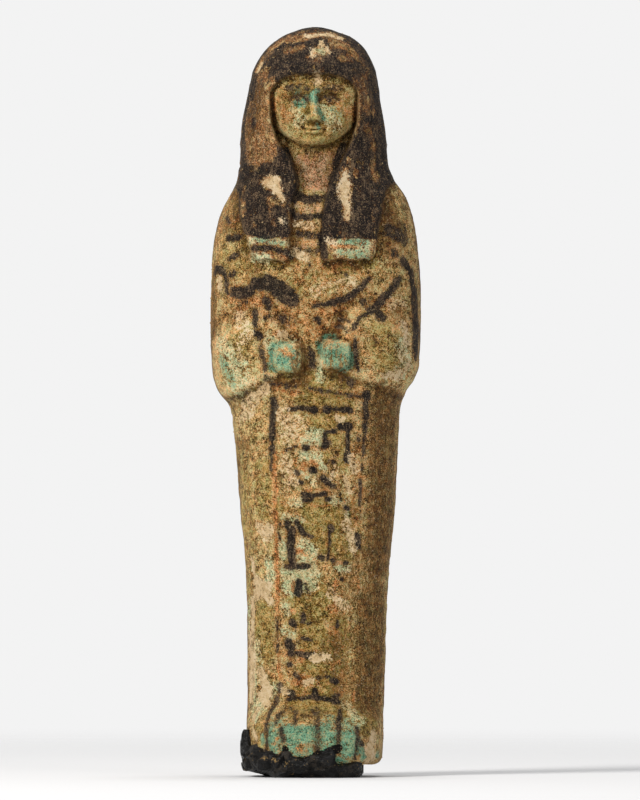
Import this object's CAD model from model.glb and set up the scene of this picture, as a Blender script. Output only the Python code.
"""A glazed faience ushabti on its broken bed of black resin, lit for a studio picture.

The figure faces -Y, +X is to the right of someone looking at its face, and the resin's flat
underside lies on z = 0. Everything is in metres. The carving is laid out in hundredths of the
figure's height, and its paint, glaze, stains and flakes in millimetres across and up.
"""

import logging
import math
from dataclasses import dataclass, field
from enum import Enum
from typing import NamedTuple

import bpy
import numpy as np
from numpy.typing import NDArray
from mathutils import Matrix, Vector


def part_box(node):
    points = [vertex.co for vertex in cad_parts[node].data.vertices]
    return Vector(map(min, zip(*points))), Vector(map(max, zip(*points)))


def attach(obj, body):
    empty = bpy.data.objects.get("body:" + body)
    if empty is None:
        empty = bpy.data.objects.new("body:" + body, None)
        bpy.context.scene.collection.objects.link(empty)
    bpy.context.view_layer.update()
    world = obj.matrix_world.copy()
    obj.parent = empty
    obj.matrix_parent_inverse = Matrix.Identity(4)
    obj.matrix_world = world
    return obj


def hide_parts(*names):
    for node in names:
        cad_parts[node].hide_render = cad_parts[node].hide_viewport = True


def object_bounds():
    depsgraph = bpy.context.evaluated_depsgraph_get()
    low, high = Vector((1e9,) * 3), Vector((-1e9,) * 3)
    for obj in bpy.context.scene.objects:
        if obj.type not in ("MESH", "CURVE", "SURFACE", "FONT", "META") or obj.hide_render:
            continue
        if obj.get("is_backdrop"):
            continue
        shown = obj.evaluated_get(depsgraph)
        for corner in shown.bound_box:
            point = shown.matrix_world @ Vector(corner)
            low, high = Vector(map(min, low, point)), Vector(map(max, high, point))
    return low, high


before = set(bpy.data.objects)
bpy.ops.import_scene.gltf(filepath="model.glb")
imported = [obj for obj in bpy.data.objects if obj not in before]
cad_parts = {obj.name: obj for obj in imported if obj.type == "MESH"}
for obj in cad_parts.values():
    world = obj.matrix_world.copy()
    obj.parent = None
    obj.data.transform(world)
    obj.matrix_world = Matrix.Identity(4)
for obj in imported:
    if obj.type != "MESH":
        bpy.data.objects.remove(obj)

logging.basicConfig(level=logging.INFO, format="%(name)s: %(message)s")
LOG = logging.getLogger("ushabti")

Array = NDArray[np.float64]
Colour = tuple[float, float, float]
Point2 = tuple[float, float]
Point3 = tuple[float, float, float]
Tones = tuple[tuple[float, tuple[int, int, int]], ...]
Socket = bpy.types.NodeSocket
Value = Socket | float
Tint = Socket | Colour
Inputs = dict[str | int, Value | Colour]

FIGURE_HEIGHT = 0.1327
RESIN_BED = 0.0020
RESIN_CLEARANCE = 0.0003
RESIN_RIM = 0.0007
PART = FIGURE_HEIGHT / 100.0
SOLE = RESIN_BED + RESIN_CLEARANCE
MM = 0.001

# How the whole numbers of a lattice corner are mixed into one that looks random.
HASH_PRIMES = (73856093, 19349663, 83492791)
SEED_PRIME = 2654435761
HASH_ROUNDS = ((13, 1274126177), (15, 2246822519))
HASH_BITS = 0xFFFFFFFF
OCTAVE_SHIFT = 17.3

# A shader's noise lies round 0.5, and this gain spreads it to about -1 to 1.
NOISE_GAIN = 13.0
EVEN = (1.0, 1.0, 1.0)


class Layer(Enum):
    """The layers of paint, glaze, stain and loss, by the name of their attribute on the mesh."""

    INK = "ink"
    TEXT = "text"
    PITCH = "pitch"
    TURQUOISE = "turquoise"
    PALE_GLAZE = "pale_glaze"
    FLAKE = "flake"
    LOST_LINE = "lost_line"
    ROSE = "rose"
    YELLOW = "yellow"
    OLIVE = "olive"
    UMBER = "umber"
    RUST = "rust"
    WIG = "wig"
    HOLLOW = "hollow"


Term = tuple[float, Socket | Layer]


class Level(NamedTuple):
    """One cross-section of the figure, in hundredths of its height."""

    height: float
    left: float
    right: float
    front: float
    back: float
    squareness: float


@dataclass(frozen=True)
class Daub:
    """A brush mark, a flake or a patch: a line across and up and its half width, in millimetres.

    Wear, in millimetres, says how much of it has gone: 0 is whole and 0.5 is mostly lost.
    """

    line: tuple[Point2, ...]
    half: float
    wear: float = 0.0


@dataclass(frozen=True)
class Cloud:
    """A stain without an edge: a line across and up, its half width and its fade, in millimetres."""

    line: tuple[Point2, ...]
    half: float
    fade: float
    strength: float


def line_from(steps: tuple[int, ...]) -> tuple[Point2, ...]:
    """Reads a line: its first place and its steps, across and up by turns, in tenths of a millimetre."""
    return tuple((float(x), float(y)) for x, y in np.cumsum(np.reshape(steps, (-1, 2)), axis=0) / 10.0)


def daubs(*rows: tuple[int, ...]) -> tuple[Daub, ...]:
    """Reads marks that are laid out in whole numbers.

    Args:
        rows: one row a mark, with its half width and its wear in hundredths of a millimetre and
            then the first place of its line and each step on from there, in tenths.

    Returns:
        The marks.
    """
    return tuple(Daub(line_from(row[2:]), row[0] / 100.0, row[1] / 100.0) for row in rows)


def clouds(*rows: tuple[int, ...]) -> tuple[Cloud, ...]:
    """Reads stains that are laid out in whole numbers.

    Args:
        rows: one row a stain, with its half width and its fade in hundredths of a millimetre, its
            strength in hundredths, and then its line, as for a mark.

    Returns:
        The stains.
    """
    return tuple(Cloud(line_from(row[3:]), row[0] / 100.0, row[1] / 100.0, row[2] / 100.0) for row in rows)


LEVELS: tuple[Level, ...] = tuple(
    Level(*row)
    for row in (
        (100.0, 0.0, 0.0, 0.0, 0.0, 2.0), (99.05, 3.7, 3.9, 2.9, 4.0, 2.0),
        (97.9, 5.6, 5.9, 4.6, 6.0, 2.0), (96.4, 7.1, 7.1, 6.0, 7.4, 2.0),
        (94.0, 8.4, 8.2, 7.0, 8.5, 2.05), (90.0, 9.3, 8.9, 7.4, 9.0, 2.1),
        (86.0, 10.05, 9.6, 7.3, 8.9, 2.15), (82.0, 10.2, 9.9, 7.2, 8.6, 2.2),
        (79.4, 10.5, 10.7, 7.4, 8.5, 2.2), (76.8, 11.7, 12.4, 7.8, 8.5, 2.25),
        (73.6, 13.1, 13.4, 8.2, 8.6, 2.35), (67.5, 14.0, 14.2, 8.6, 8.7, 2.4),
        (61.0, 14.2, 14.4, 8.8, 8.6, 2.4), (54.5, 14.0, 14.2, 8.9, 8.4, 2.4),
        (52.2, 13.7, 13.5, 8.9, 8.3, 2.4), (50.3, 12.9, 12.3, 8.8, 8.2, 2.35),
        (48.3, 11.5, 11.6, 8.7, 8.1, 2.3), (45.5, 11.0, 11.4, 8.7, 8.0, 2.3),
        (35.0, 10.2, 10.9, 8.3, 7.6, 2.3), (24.5, 9.3, 9.95, 7.6, 7.1, 2.25),
        (15.0, 9.15, 9.6, 6.9, 6.7, 2.25), (8.8, 9.2, 9.35, 6.9, 6.5, 2.3),
        (6.2, 9.2, 9.3, 9.6, 6.4, 2.5), (3.6, 9.15, 9.25, 11.3, 6.4, 2.8),
        (1.4, 9.05, 9.1, 11.6, 6.3, 2.9), (0.0, 8.5, 8.4, 11.0, 5.9, 2.8), (0.0, 4.2, 4.2, 5.2, 3.0, 2.5),
        (0.0, 0.0, 0.0, 0.0, 0.0, 2.0),
    )
)
SOLE_EDGE = 25

INNER_EDGE_LEFT: tuple[Point2, ...] = (
    (50.0, -4.4), (68.0, -3.4), (75.8, -3.2), (78.5, -2.4), (82.0, -3.4), (84.5, -5.1),
    (88.0, -6.0), (91.2, -6.1), (92.6, -5.7), (93.6, -4.9), (95.0, -4.3),
)
INNER_EDGE_RIGHT: tuple[Point2, ...] = (
    (50.0, 4.4), (68.0, 1.0), (74.0, 1.1), (79.0, 2.3), (82.2, 4.0), (85.5, 5.3),
    (88.0, 5.8), (91.2, 5.9), (92.6, 5.5), (93.6, 4.7), (95.0, 4.1),
)
OUTER_EDGE_LEFT: tuple[Point2, ...] = (
    (50.0, -8.6), (68.0, -8.4), (71.5, -9.3), (74.0, -10.0), (77.0, -10.3), (80.0, -12.0),
)
OUTER_EDGE_RIGHT: tuple[Point2, ...] = (
    (50.0, 8.6), (68.0, 8.0), (71.0, 8.4), (74.0, 8.8), (77.5, 9.4), (80.0, 12.0),
)

# Angle from the front in degrees, then in metres how far the resin reaches past the foot and how
# far its flat underside is set back.
RESIN_EDGE: tuple[Point3, ...] = (
    (-165.0, 0.0004, 0.0012), (-135.0, 0.0009, 0.0016), (-108.0, 0.0013, 0.0034), (-88.0, 0.0014, 0.0048),
    (-70.0, 0.0014, 0.0046), (-58.0, 0.0013, 0.0038), (-44.0, 0.0012, 0.0026), (-30.0, 0.0011, 0.0018),
    (-18.0, 0.0012, 0.0014), (-4.0, 0.0012, 0.0012), (12.0, 0.0012, 0.0012), (24.0, 0.0011, 0.0012),
    (36.0, 0.0004, 0.0010), (52.0, -0.0012, 0.0008), (78.0, -0.0026, 0.0008), (112.0, -0.0020, 0.0008),
    (145.0, -0.0006, 0.0009),
)

# Angle from the front in degrees and how high the torn rim climbs above the sole, in millimetres.
RESIN_CLIMB: tuple[Point2, ...] = (
    (-180.0, 0.0), (-165.0, 0.0), (-135.0, 1.4), (-120.0, 3.0), (-108.0, 4.0), (-96.0, 4.6), (-88.0, 5.6),
    (-77.0, 6.3), (-72.0, 6.9), (-67.0, 4.6), (-64.0, 3.3), (-54.0, 3.5), (-46.0, 2.6), (-32.0, 2.6),
    (-24.0, 2.0), (-21.0, 2.8), (-17.0, 3.6), (-15.0, 2.6), (-12.0, 1.7), (-6.0, 1.3), (-2.5, 1.8),
    (0.7, 1.8), (2.0, 2.5), (6.5, 3.1), (9.0, 2.6), (11.0, 1.0), (14.0, 0.25), (22.0, 0.3), (30.0, 0.7),
    (35.0, 0.4), (38.0, 0.0), (180.0, 0.0),
)

INK_LINES: tuple[Daub, ...] = daubs(
    (72, 10, -32, 1045, 16, -7, 21, 2), (40, 15, 5, 1040, 15, 5), (54, 0, -36, 1008, 23, -2, 24, 2),
    (45, 10, -40, 1018, 2, -10), (58, 25, -29, 977, 15, -2, 12, -2), (36, 35, -32, 948, 19, -2, 22, 0),
    (68, 5, 16, 1009, 4, -21, -7, -18), (61, 10, 9, 973, 4, -21, 5, -15), (58, 5, -157, 968, 20, 2),
    (50, 5, -155, 930, 16, 9), (47, 15, -151, 901, 7, 6), (40, 20, -159, 1004, 4, -7),
    (90, 10, -177, 910, 9, 0), (50, 5, -162, 905, 3, -18, 2, -16), (117, 30, 135, 982, 16, -9),
    (72, 40, 159, 988, 3, -27), (54, 30, 139, 943, 9, -2), (126, 0, -105, 885, 18, 2, 19, -11),
    (144, 4, -103, 1053, 7, -40, 4, -29), (117, 4, -67, 1017, 11, -36), (90, 2, -54, 1125, 11, -44, 5, -43),
    (126, 2, 92, 1056, 0, -39, -4, -36), (99, 2, 74, 1013, -7, -32), (90, 2, 40, 1024, -6, -43),
    (65, 2, 49, 1136, -11, -33, -6, -36), (72, 2, -110, 1081, 18, 15, 14, 2),
    (81, 5, -81, 1283, 54, -9, 72, 0, 33, 6), (130, 0, -87, 890, 20, -10, 20, -13),
    (126, 0, -56, 865, 15, -7), (108, 12, -142, 871, 25, 1), (47, 0, -110, 950, 29, 0, 23, -4, 13, -3),
    (54, 0, -52, 944, 9, -7), (58, 15, -88, 858, 5, -14), (47, 5, -108, 838, 2, -18, -2, -7),
    (65, 0, -105, 798, 6, -5), (50, 20, -88, 824, 5, 3), (47, 25, -128, 854, 5, -1),
    (76, 45, -56, 825, 13, -5), (29, 0, -2, 845, 15, 4), (54, 0, 18, 849, 16, 4),
    (56, 0, 29, 851, 21, 7, 17, 9, 16, 13), (47, 0, 83, 880, 16, 14), (68, 0, 150, 894, -8, -13, -14, -18),
    (61, 0, 128, 863, -14, -12, -15, -13), (40, 20, 99, 838, -20, -13, -9, -16), (61, 5, 103, 842, 11, -7),
    (83, 5, 117, 829, 4, -2), (61, 35, 85, 856, 7, -3), (29, 30, 41, 822, 18, -2),
    (29, 35, 38, 809, 18, -2), (40, 35, 56, 802, 7, 2), (43, 5, 5, 824, 4, -8),
    (83, 5, 159, 926, 14, -21, 5, -33), (108, 22, 178, 872, 4, -61), (130, 8, 182, 807, 0, -46),
    (40, 35, -97, 775, 3, -22, 4, -18), (58, 30, -87, 717, 4, -3), (40, 10, 72, 782, 2, -25, 2, -27),
    (61, 20, -7, 759, 2, -18), (36, 30, -11, 770, 4, -6), (47, 40, 54, 716, 13, -9),
    (23, 25, -81, 705, 25, 0, 22, -4), (20, 20, -9, 698, 36, -6, 29, -5, 29, -4), (34, 5, 29, 692, 5, -2),
    (34, 5, 54, 689, 7, -2), (31, 5, -52, 701, 5, 0), (23, 10, -121, 690, 4, -10), (29, 5, -9, 921, 2, -2),
    (29, 10, 56, 905, 2, -2), (23, 5, 108, 784, 2, -2), (65, 0, -75, 678, -1, -33),
    (59, 0, -76, 645, -1, -36), (40, 5, -78, 609, 0, -25), (18, 10, -79, 584, 1, -32),
    (83, 5, 92, 687, 0, -6), (54, 10, 91, 681, -1, -25), (54, 12, 90, 656, -1, -29),
    (47, 22, 89, 627, -1, -21), (47, 25, 78, 611, 1, -5), (23, 35, 87, 595, -1, -43),
    (52, 5, 75, 433, 1, -20), (18, 30, 81, 534, -2, -73), (22, 10, -68, 281, 1, -23, -1, -31),
    (36, 10, -61, 166, -2, -11), (36, 10, -68, 142, -8, -18, -9, -21), (29, 30, -88, 97, 1, -23, 0, -22),
    (34, 5, 76, 88, 0, -27, -4, -27), (40, 5, 45, 121, -1, -20, 0, -23), (36, 25, 43, 78, -2, -19),
    (41, 35, 2, 123, 1, -22, 0, -23), (40, 45, 3, 78, 1, -26), (40, 30, -70, 97, 5, 15, 9, 7),
    (27, 35, -56, 119, 11, 4, 9, -4), (32, 35, -36, 119, 0, -22), (41, 30, -59, 88, 1, -20),
    (36, 10, 83, 61, 4, -2),
)

TEXT_STROKES: tuple[Daub, ...] = daubs(
    (40, 0, -49, 661, 22, 2, 22, -2), (78, 0, -4, 660, 2, 0), (72, 0, 20, 660, 2, 0),
    (36, 5, 22, 660, 25, 1), (61, 8, 50, 661, 13, -1), (76, 0, 47, 631, 14, 0),
    (38, 2, 58, 624, 0, -22, 0, -18), (72, 2, 58, 579, 0, -8), (34, 5, 20, 620, 18, 2),
    (36, 5, 18, 616, 0, -10), (61, 0, 18, 595, 5, 5), (23, 18, -52, 588, 18, 7), (54, 0, -18, 593, 4, -2),
    (43, 15, -34, 548, 2, -4), (59, 0, -5, 552, 3, -2), (40, 2, -27, 530, 2, -2), (65, 25, 14, 537, 8, -5),
    (43, 30, 22, 526, 12, -3), (27, 10, 27, 566, 11, 0), (40, 18, -22, 508, 17, -2, 23, 4),
    (36, 10, -20, 497, 13, 2), (47, 6, 22, 499, 3, 0), (29, 10, 45, 508, 2, -9), (43, 2, 56, 485, 3, -2),
    (47, 20, -50, 458, 1, -9), (47, 20, -34, 458, 11, -16), (70, 8, -43, 445, 0, -29, 2, -30),
    (47, 5, -52, 379, 21, 0, 20, 0), (29, 5, -23, 438, 19, -7), (25, 10, -63, 456, 2, -5),
    (27, 10, -65, 440, 2, -13), (22, 20, 25, 443, 2, -25, -4, -27), (49, 2, 27, 449, 2, -6),
    (41, 0, 32, 389, 2, 0), (36, 0, 54, 384, 2, 0), (34, 0, 47, 355, 2, 0), (43, 25, 9, 397, 4, -4),
    (68, 12, -27, 350, -2, -15), (23, 10, -16, 348, 2, -15), (58, 12, -32, 332, 3, -2),
    (40, 12, -22, 292, 0, -11), (58, 18, -41, 278, 3, -4), (25, 10, -13, 276, 6, 2),
    (32, 2, 40, 281, 0, -12), (31, 5, -23, 251, 16, -4), (90, 10, -47, 240, 4, -6),
    (29, 5, -31, 243, 2, -1), (36, 10, -34, 222, 14, -2, 18, 2), (50, 2, -14, 218, 5, 0),
    (47, 22, -45, 222, 4, -4), (45, 0, -47, 202, 2, 0), (32, 25, 4, 178, 21, 2), (63, 10, 34, 173, 4, -2),
    (34, 12, -36, 184, 2, -2), (27, 10, -29, 177, 2, 0), (61, 18, -45, 151, 5, -3),
    (36, 2, -47, 139, 24, 2, 23, 3), (65, 0, 0, 153, 2, -5), (43, 0, 2, 142, 21, -1, 20, -6),
    (36, 30, 32, 144, 11, 2), (36, 30, -5, 121, 7, -6), (29, 25, -22, 112, 11, -2),
)

WORN_PATCHES: tuple[Daub, ...] = daubs(
    (108, 10, -16, 1334, 25, 2, 22, -2), (90, 22, -70, 1316, 25, 11, 25, 3), (72, 34, -52, 1305, 25, 9),
    (90, 26, 34, 1323, 22, -9, 14, -16), (61, 40, 49, 1294, 25, -18), (72, 30, -96, 1291, 18, 14),
    (47, 25, 31, 1332, 16, -5), (137, 5, 9, 1305, 2, 2), (79, 35, -76, 1314, 13, 9, 13, 7),
    (65, 40, -5, 1289, 10, 0), (108, 60, 40, 1312, 19, -3, 17, -13), (65, 45, 63, 1291, 4, -17),
    (54, 55, 83, 1291, 9, -19), (72, 20, -105, 1272, 8, 15), (43, 30, -90, 1276, 3, -13),
    (126, 35, -97, 1258, -2, -31, -4, -30), (72, 10, -79, 1222, 1, -54, 13, -25),
    (54, 30, -78, 1251, -1, -29), (61, 30, 79, 1218, -3, -43), (36, 20, 83, 1247, -2, -25),
    (198, 22, -87, 1229, -1, -47), (216, 18, -92, 1155, -2, -38), (144, 26, -117, 1154, 0, -40),
    (90, 34, -117, 1204, -4, -36), (90, 25, -72, 1155, -6, -27), (108, 55, 76, 1247, 5, -50),
    (90, 50, 67, 1197, 7, -25), (32, 20, -41, 1049, -2, -101), (162, 25, -96, 1150, -3, -22),
    (135, 25, -88, 1168, 7, -40), (90, 30, -110, 1110, 7, -11), (65, 40, -78, 1251, 2, -33),
    (54, 35, 88, 1251, 4, -18, 2, -36), (40, 50, 101, 1227, 5, -36), (54, 45, 92, 1172, 9, -26),
    (29, 25, 105, 1137, 1, -27, 0, -21), (40, 30, 68, 1175, 4, -16), (79, 10, 54, 1087, -2, -20),
    (97, 0, 52, 1069, 2, -24), (83, 0, 56, 1045, 3, -18), (65, 10, 59, 1027, 0, -19),
    (61, 20, 103, 1089, 7, -13), (90, 0, -87, 1069, 11, 3), (87, 0, -76, 1067, 8, -14),
    (50, 5, -67, 1051, 8, -15), (32, 25, -68, 1033, 10, -18), (101, 15, -65, 993, 4, 2),
    (65, 30, -105, 990, 11, 1), (54, 45, -96, 1013, 8, -7), (29, 30, -130, 1056, -2, -45),
    (47, 60, 63, 988, 11, -11), (47, 60, 36, 999, 13, -26), (36, 50, 61, 1110, 13, -27),
)

TURQUOISE: tuple[Daub, ...] = daubs(
    (79, 0, -32, 1206, 12, 5), (68, 0, -22, 1211, 17, 9), (54, 5, -5, 1222, 9, 11),
    (58, 10, -2, 1211, 4, 7), (32, 25, 7, 1195, 6, -11), (29, 15, 4, 1168, 1, -4),
    (43, 45, -38, 1236, 9, -7), (47, 45, 32, 1200, 9, -10), (216, 20, -61, 762, 12, -12),
    (144, 8, -63, 750, 22, -4), (108, 34, -78, 743, 37, -4), (216, 12, 23, 773, 27, -25),
    (162, 0, 29, 768, 9, -4), (144, 2, 31, 750, 18, -2), (117, 5, 50, 762, 6, -16),
    (90, 50, -160, 728, 12, -21), (83, 50, -168, 753, 4, -14), (135, 5, -47, 85, 25, -4, 17, 0),
    (216, 24, -70, 65, 137, -6), (90, 40, -85, 90, 159, -2), (54, 46, -78, 103, 145, -2),
    (144, 34, -45, 43, 99, -2), (126, 10, 14, 83, 20, -2), (108, 12, 54, 78, 13, -6),
    (126, 10, 54, 56, 13, -9), (90, 20, -20, 58, 18, -4), (99, 15, 13, 58, 14, -8),
    (43, 15, -96, 76, 2, -13), (54, 25, -81, 81, 0, -20), (65, 15, -65, 47, 13, -6),
    (72, 10, 29, 34, 16, -3), (65, 5, 85, 50, 3, -14), (61, 30, 14, 99, 18, -2), (47, 20, 105, 34, 9, 7),
    (29, 10, -5, 23, 3, -1), (54, 42, 45, 961, 47, -2), (47, 45, 45, 943, 47, -2),
    (43, 44, -106, 961, 47, 0),
)

LOST_LINES: tuple[Daub, ...] = daubs(
    (43, 10, -54, 761, 11, -2), (36, 12, 29, 955, 25, -2, 22, 0), (22, 10, -103, 997, 7, -9),
    (22, 10, -70, 999, 14, -11), (18, 12, -65, 1027, 7, -14), (18, 15, -110, 1020, 5, -11),
    (23, 10, 76, 1060, 9, -22), (22, 12, 97, 1168, 9, -40, 0, -36), (40, 20, 103, 1089, 7, -15),
    (47, 2, -73, 584, 1, -41), (50, 0, -71, 543, 0, -55), (50, 0, -71, 488, 1, -63),
    (50, 0, -70, 425, 2, -108), (47, 5, -68, 317, 1, -72), (43, 10, -66, 245, 1, -50),
    (43, 25, -63, 195, 5, -29), (29, 10, -27, 595, 14, -2, 27, -2), (25, 15, -56, 586, -2, -24),
    (27, 12, -45, 552, -2, -35), (43, 15, -22, 561, 15, 7, 11, -9), (36, 20, -22, 555, 6, -12),
    (31, 10, -20, 514, 25, 3, 22, -2), (40, 10, -7, 490, 20, -2, 16, -1), (25, 10, 50, 503, 4, -11),
    (43, 15, -31, 411, 13, -11), (23, 15, 23, 440, 0, -51), (32, 10, 27, 382, 22, 2),
    (32, 5, 36, 353, -2, -27), (43, 5, 36, 324, 2, -28), (36, 15, 23, 303, 9, 2), (50, 10, -43, 301, 5, -5),
    (43, 15, -38, 350, -2, -15), (36, 20, -41, 389, -4, -10), (32, 15, -40, 225, 22, 2, 23, -2),
    (65, 20, -38, 169, 18, 8), (54, 25, -22, 180, 13, -5), (36, 15, -31, 146, 26, 4),
    (36, 25, 67, 187, 3, -50), (32, 30, 83, 555, 0, -58), (29, 35, 79, 389, 0, -63),
    (29, 20, -78, 699, 22, -5, 15, 4), (27, 25, -9, 694, 32, -7), (29, 30, 54, 584, 4, 0),
    (29, 25, -7, 665, 12, 0), (43, 30, -13, 61, 11, -3), (36, 30, -31, 54, 8, -7), (32, 10, 45, 92, 2, -2),
    (32, 15, 72, 41, 0, -7), (36, 30, -74, 61, 9, -3),
)

PALE_GLAZE: tuple[Daub, ...] = daubs(
    (90, 16, -78, 779, 29, 1), (61, 12, -117, 961, 21, 1, 18, 0), (108, 36, 9, 1197, 25, -18),
    (83, 14, 7, 1307, 7, -2), (108, 38, -34, 1193, 7, -11), (54, 30, -78, 962, 28, -1),
    (97, 5, -106, 935, 16, -1), (54, 8, 43, 962, 33, 0), (58, 8, 41, 944, 56, 0), (54, 38, 81, 955, 20, -2),
    (144, 34, -169, 782, 12, -21), (198, 33, -160, 746, 18, -29), (126, 35, -155, 707, 20, -9),
    (144, 38, -132, 739, 8, -32), (83, 25, -85, 784, 20, -2, 20, 2), (72, 20, 7, 750, 0, -16),
    (72, 15, 7, 726, 4, -9), (126, 30, 157, 775, 7, -36), (90, 40, 148, 725, 12, 3),
    (99, 5, -5, 616, 14, 0), (83, 10, -20, 602, 29, -2), (108, 10, -18, 579, 23, -6),
    (65, 15, 9, 566, 4, -14), (72, 35, -22, 543, 18, -8), (61, 15, -40, 494, 15, 0),
    (76, 10, 32, 499, 11, -2), (58, 35, 56, 497, 3, -27), (58, 10, -49, 467, 22, -2),
    (72, 5, -61, 424, 3, -27), (117, 5, -23, 420, 16, -16), (108, 10, -22, 402, 13, -16),
    (126, 0, -54, 364, 27, 2, 22, 5), (135, 2, -49, 342, 22, -3, 18, 7), (65, 10, -4, 380, 9, -18),
    (83, 15, 45, 375, 11, -2), (72, 10, -83, 389, 2, -27, -4, -34), (54, 45, -103, 245, 7, -54),
    (72, 34, -119, 310, 0, -65), (108, 32, -114, 234, 2, -90), (108, 10, -106, 108, 10, 33),
    (108, 30, -96, 137, 22, 18), (90, 40, 65, 110, 20, -9), (72, 35, 70, 115, 4, -18),
    (144, 35, -110, 142, 4, -19), (108, 40, -92, 173, 11, -22), (72, 30, -52, 306, 3, -9),
    (72, 40, -54, 263, 13, -7), (90, 40, 54, 130, 13, -6), (47, 10, -63, 999, 11, 1),
)

FLAKES: tuple[Daub, ...] = daubs(
    (43, 30, 20, 964, 12, -3), (54, 0, -114, 389, 4, -43), (90, 0, -106, 350, 21, -11),
    (90, 5, -85, 1071, 11, 1), (79, 0, -78, 1067, 10, -13), (43, 5, -67, 1051, 8, -13),
    (72, 10, 54, 1081, -2, -18), (90, 0, 52, 1063, 2, -18), (76, 2, 56, 1042, 3, -15),
    (58, 5, 59, 1026, 0, -17), (65, 15, -13, 1334, 22, 2, 18, -2), (36, 15, 32, 1332, 15, -4),
    (61, 20, 11, 1321, 2, -2), (36, 25, -5, 1309, 1, -11), (36, 25, 23, 1312, 2, -11),
    (54, 20, -103, 1272, 6, 13), (47, 5, 2, 1251, 3, 0), (47, 20, 2, 1262, 2, -6),
    (65, 5, -173, 892, 2, -18), (61, 30, -58, 993, -3, 6), (126, 38, -135, 825, 11, -25),
    (108, 50, -126, 786, -9, -18), (65, 15, -61, 798, 5, -1), (90, 36, 160, 813, 6, -36),
    (72, 45, 155, 764, 4, -18), (90, 25, 128, 721, 22, 0), (65, 30, 153, 726, 15, 13),
    (108, 50, 49, 887, 19, 3), (90, 50, 2, 872, 18, 8), (90, 55, 139, 851, 18, 2),
    (108, 35, -126, 669, 20, 12), (90, 40, -135, 642, 18, 14), (90, 25, -96, 692, 8, 7),
    (108, 50, -54, 642, 22, -8), (90, 55, -56, 616, 11, -14), (47, 20, 38, 647, 7, -2),
    (83, 30, -97, 447, 9, -18), (79, 10, -90, 438, 9, 9), (54, 20, -105, 454, 4, -5),
    (108, 5, -106, 324, 18, 4), (99, 5, -103, 335, 22, -18), (72, 5, -114, 317, 0, -32, 2, -40),
    (54, 15, -110, 223, 2, -21), (108, 2, -96, 187, 11, -36), (54, 10, -112, 202, 0, -47),
    (90, 12, -117, 245, 2, -108), (99, 10, -96, 151, 11, -14), (72, 15, -110, 108, 11, 18),
    (54, 30, -56, 157, 4, -6), (65, 5, -4, 211, 13, 3), (61, 5, 13, 218, 12, -2), (58, 20, -18, 166, 11, 3),
    (90, 10, 101, 54, 7, 20), (97, 5, 96, 43, 10, -3), (72, 10, 92, 31, 14, -2), (47, 20, -112, 87, 6, -19),
    (72, 35, -38, 944, 22, -7), (54, 40, -34, 993, 29, -2), (54, 45, 27, 537, 11, 15),
    (54, 35, 63, 579, 11, -27), (108, 44, -58, 656, 17, -43), (90, 46, -52, 573, 11, -47),
    (72, 44, 27, 332, 25, -26), (72, 44, 56, 461, 11, -50), (43, 25, 56, 537, 7, -22),
)

ROSY_PLACES: tuple[Daub, ...] = daubs(
    (162, 0, -20, 1107, 43, 0), (162, 0, -13, 1085, 29, 0), (54, 30, -31, 1114, 8, -40),
    (126, 0, -9, 1067, 23, -2), (65, 10, -2, 1058, 6, -2), (36, 10, 29, 1062, 0, -24),
    (31, 10, 29, 1038, -4, -50), (81, 35, -31, 1027, 31, -3), (72, 45, -31, 959, 33, 0),
    (72, 50, -135, 858, 29, -4), (72, 40, -96, 836, 26, -11),
)

RESIN_SMEARS: tuple[Daub, ...] = daubs(
    (29, 0, -119, 88, 2, -16), (68, 0, -121, 61, 6, -14), (68, 0, -105, 50, 17, -7),
    (72, 0, -85, 40, 22, -6), (58, 0, -54, 52, 2, -9), (72, 0, -56, 36, 29, -5), (79, 0, -16, 32, 18, 2),
    (90, 0, 4, 40, 18, 1), (72, 0, 22, 47, 16, 5), (54, 0, 38, 52, 7, 2), (72, 0, 5, 25, 15, 2),
    (47, 0, 27, 22, 27, 1, 24, 2), (61, 0, -85, 29, 76, -11),
)

OLIVE_CLOUDS: tuple[Cloud, ...] = clouds(
    (252, 397, 52, -31, 1209, 58, -12, -18, -33), (144, 252, 55, -135, 795, -15, -72, 22, -31),
    (180, 288, 55, 124, 795, 15, -49), (144, 252, 60, -45, 714, 90, -7), (108, 180, 75, -18, 680, 72, -2),
    (108, 180, 60, 5, 634, 36, 8), (144, 216, 55, 34, 597, 4, -27),
    (144, 252, 44, -135, 579, 11, -82, 7, -162), (108, 180, 55, -96, 552, 4, -73),
    (216, 252, 90, 0, 467, 45, 3), (144, 216, 70, 13, 425, 41, -14),
    (252, 360, 80, -9, 317, 27, -72, -13, -90), (144, 180, 80, -94, 294, 2, -76),
    (162, 216, 70, -27, 294, 45, 20), (144, 180, 55, -61, 483, 3, -9), (180, 288, 60, -27, 126, 90, -11),
    (162, 216, 95, 87, 97, 12, 0), (108, 144, 80, -70, 934, 21, 3), (72, 144, 90, 27, 928, 72, 0),
    (72, 108, 80, 9, 1307, 2, 0), (90, 144, 70, -58, 966, -59, -4), (126, 216, 44, -162, 926, 45, 0),
    (126, 216, 50, -27, 876, 72, 27), (90, 144, 60, -106, 87, 10, -19), (54, 72, 90, -81, 739, 47, -4),
    (54, 72, 90, -81, 737, 40, -7),
)

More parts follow.
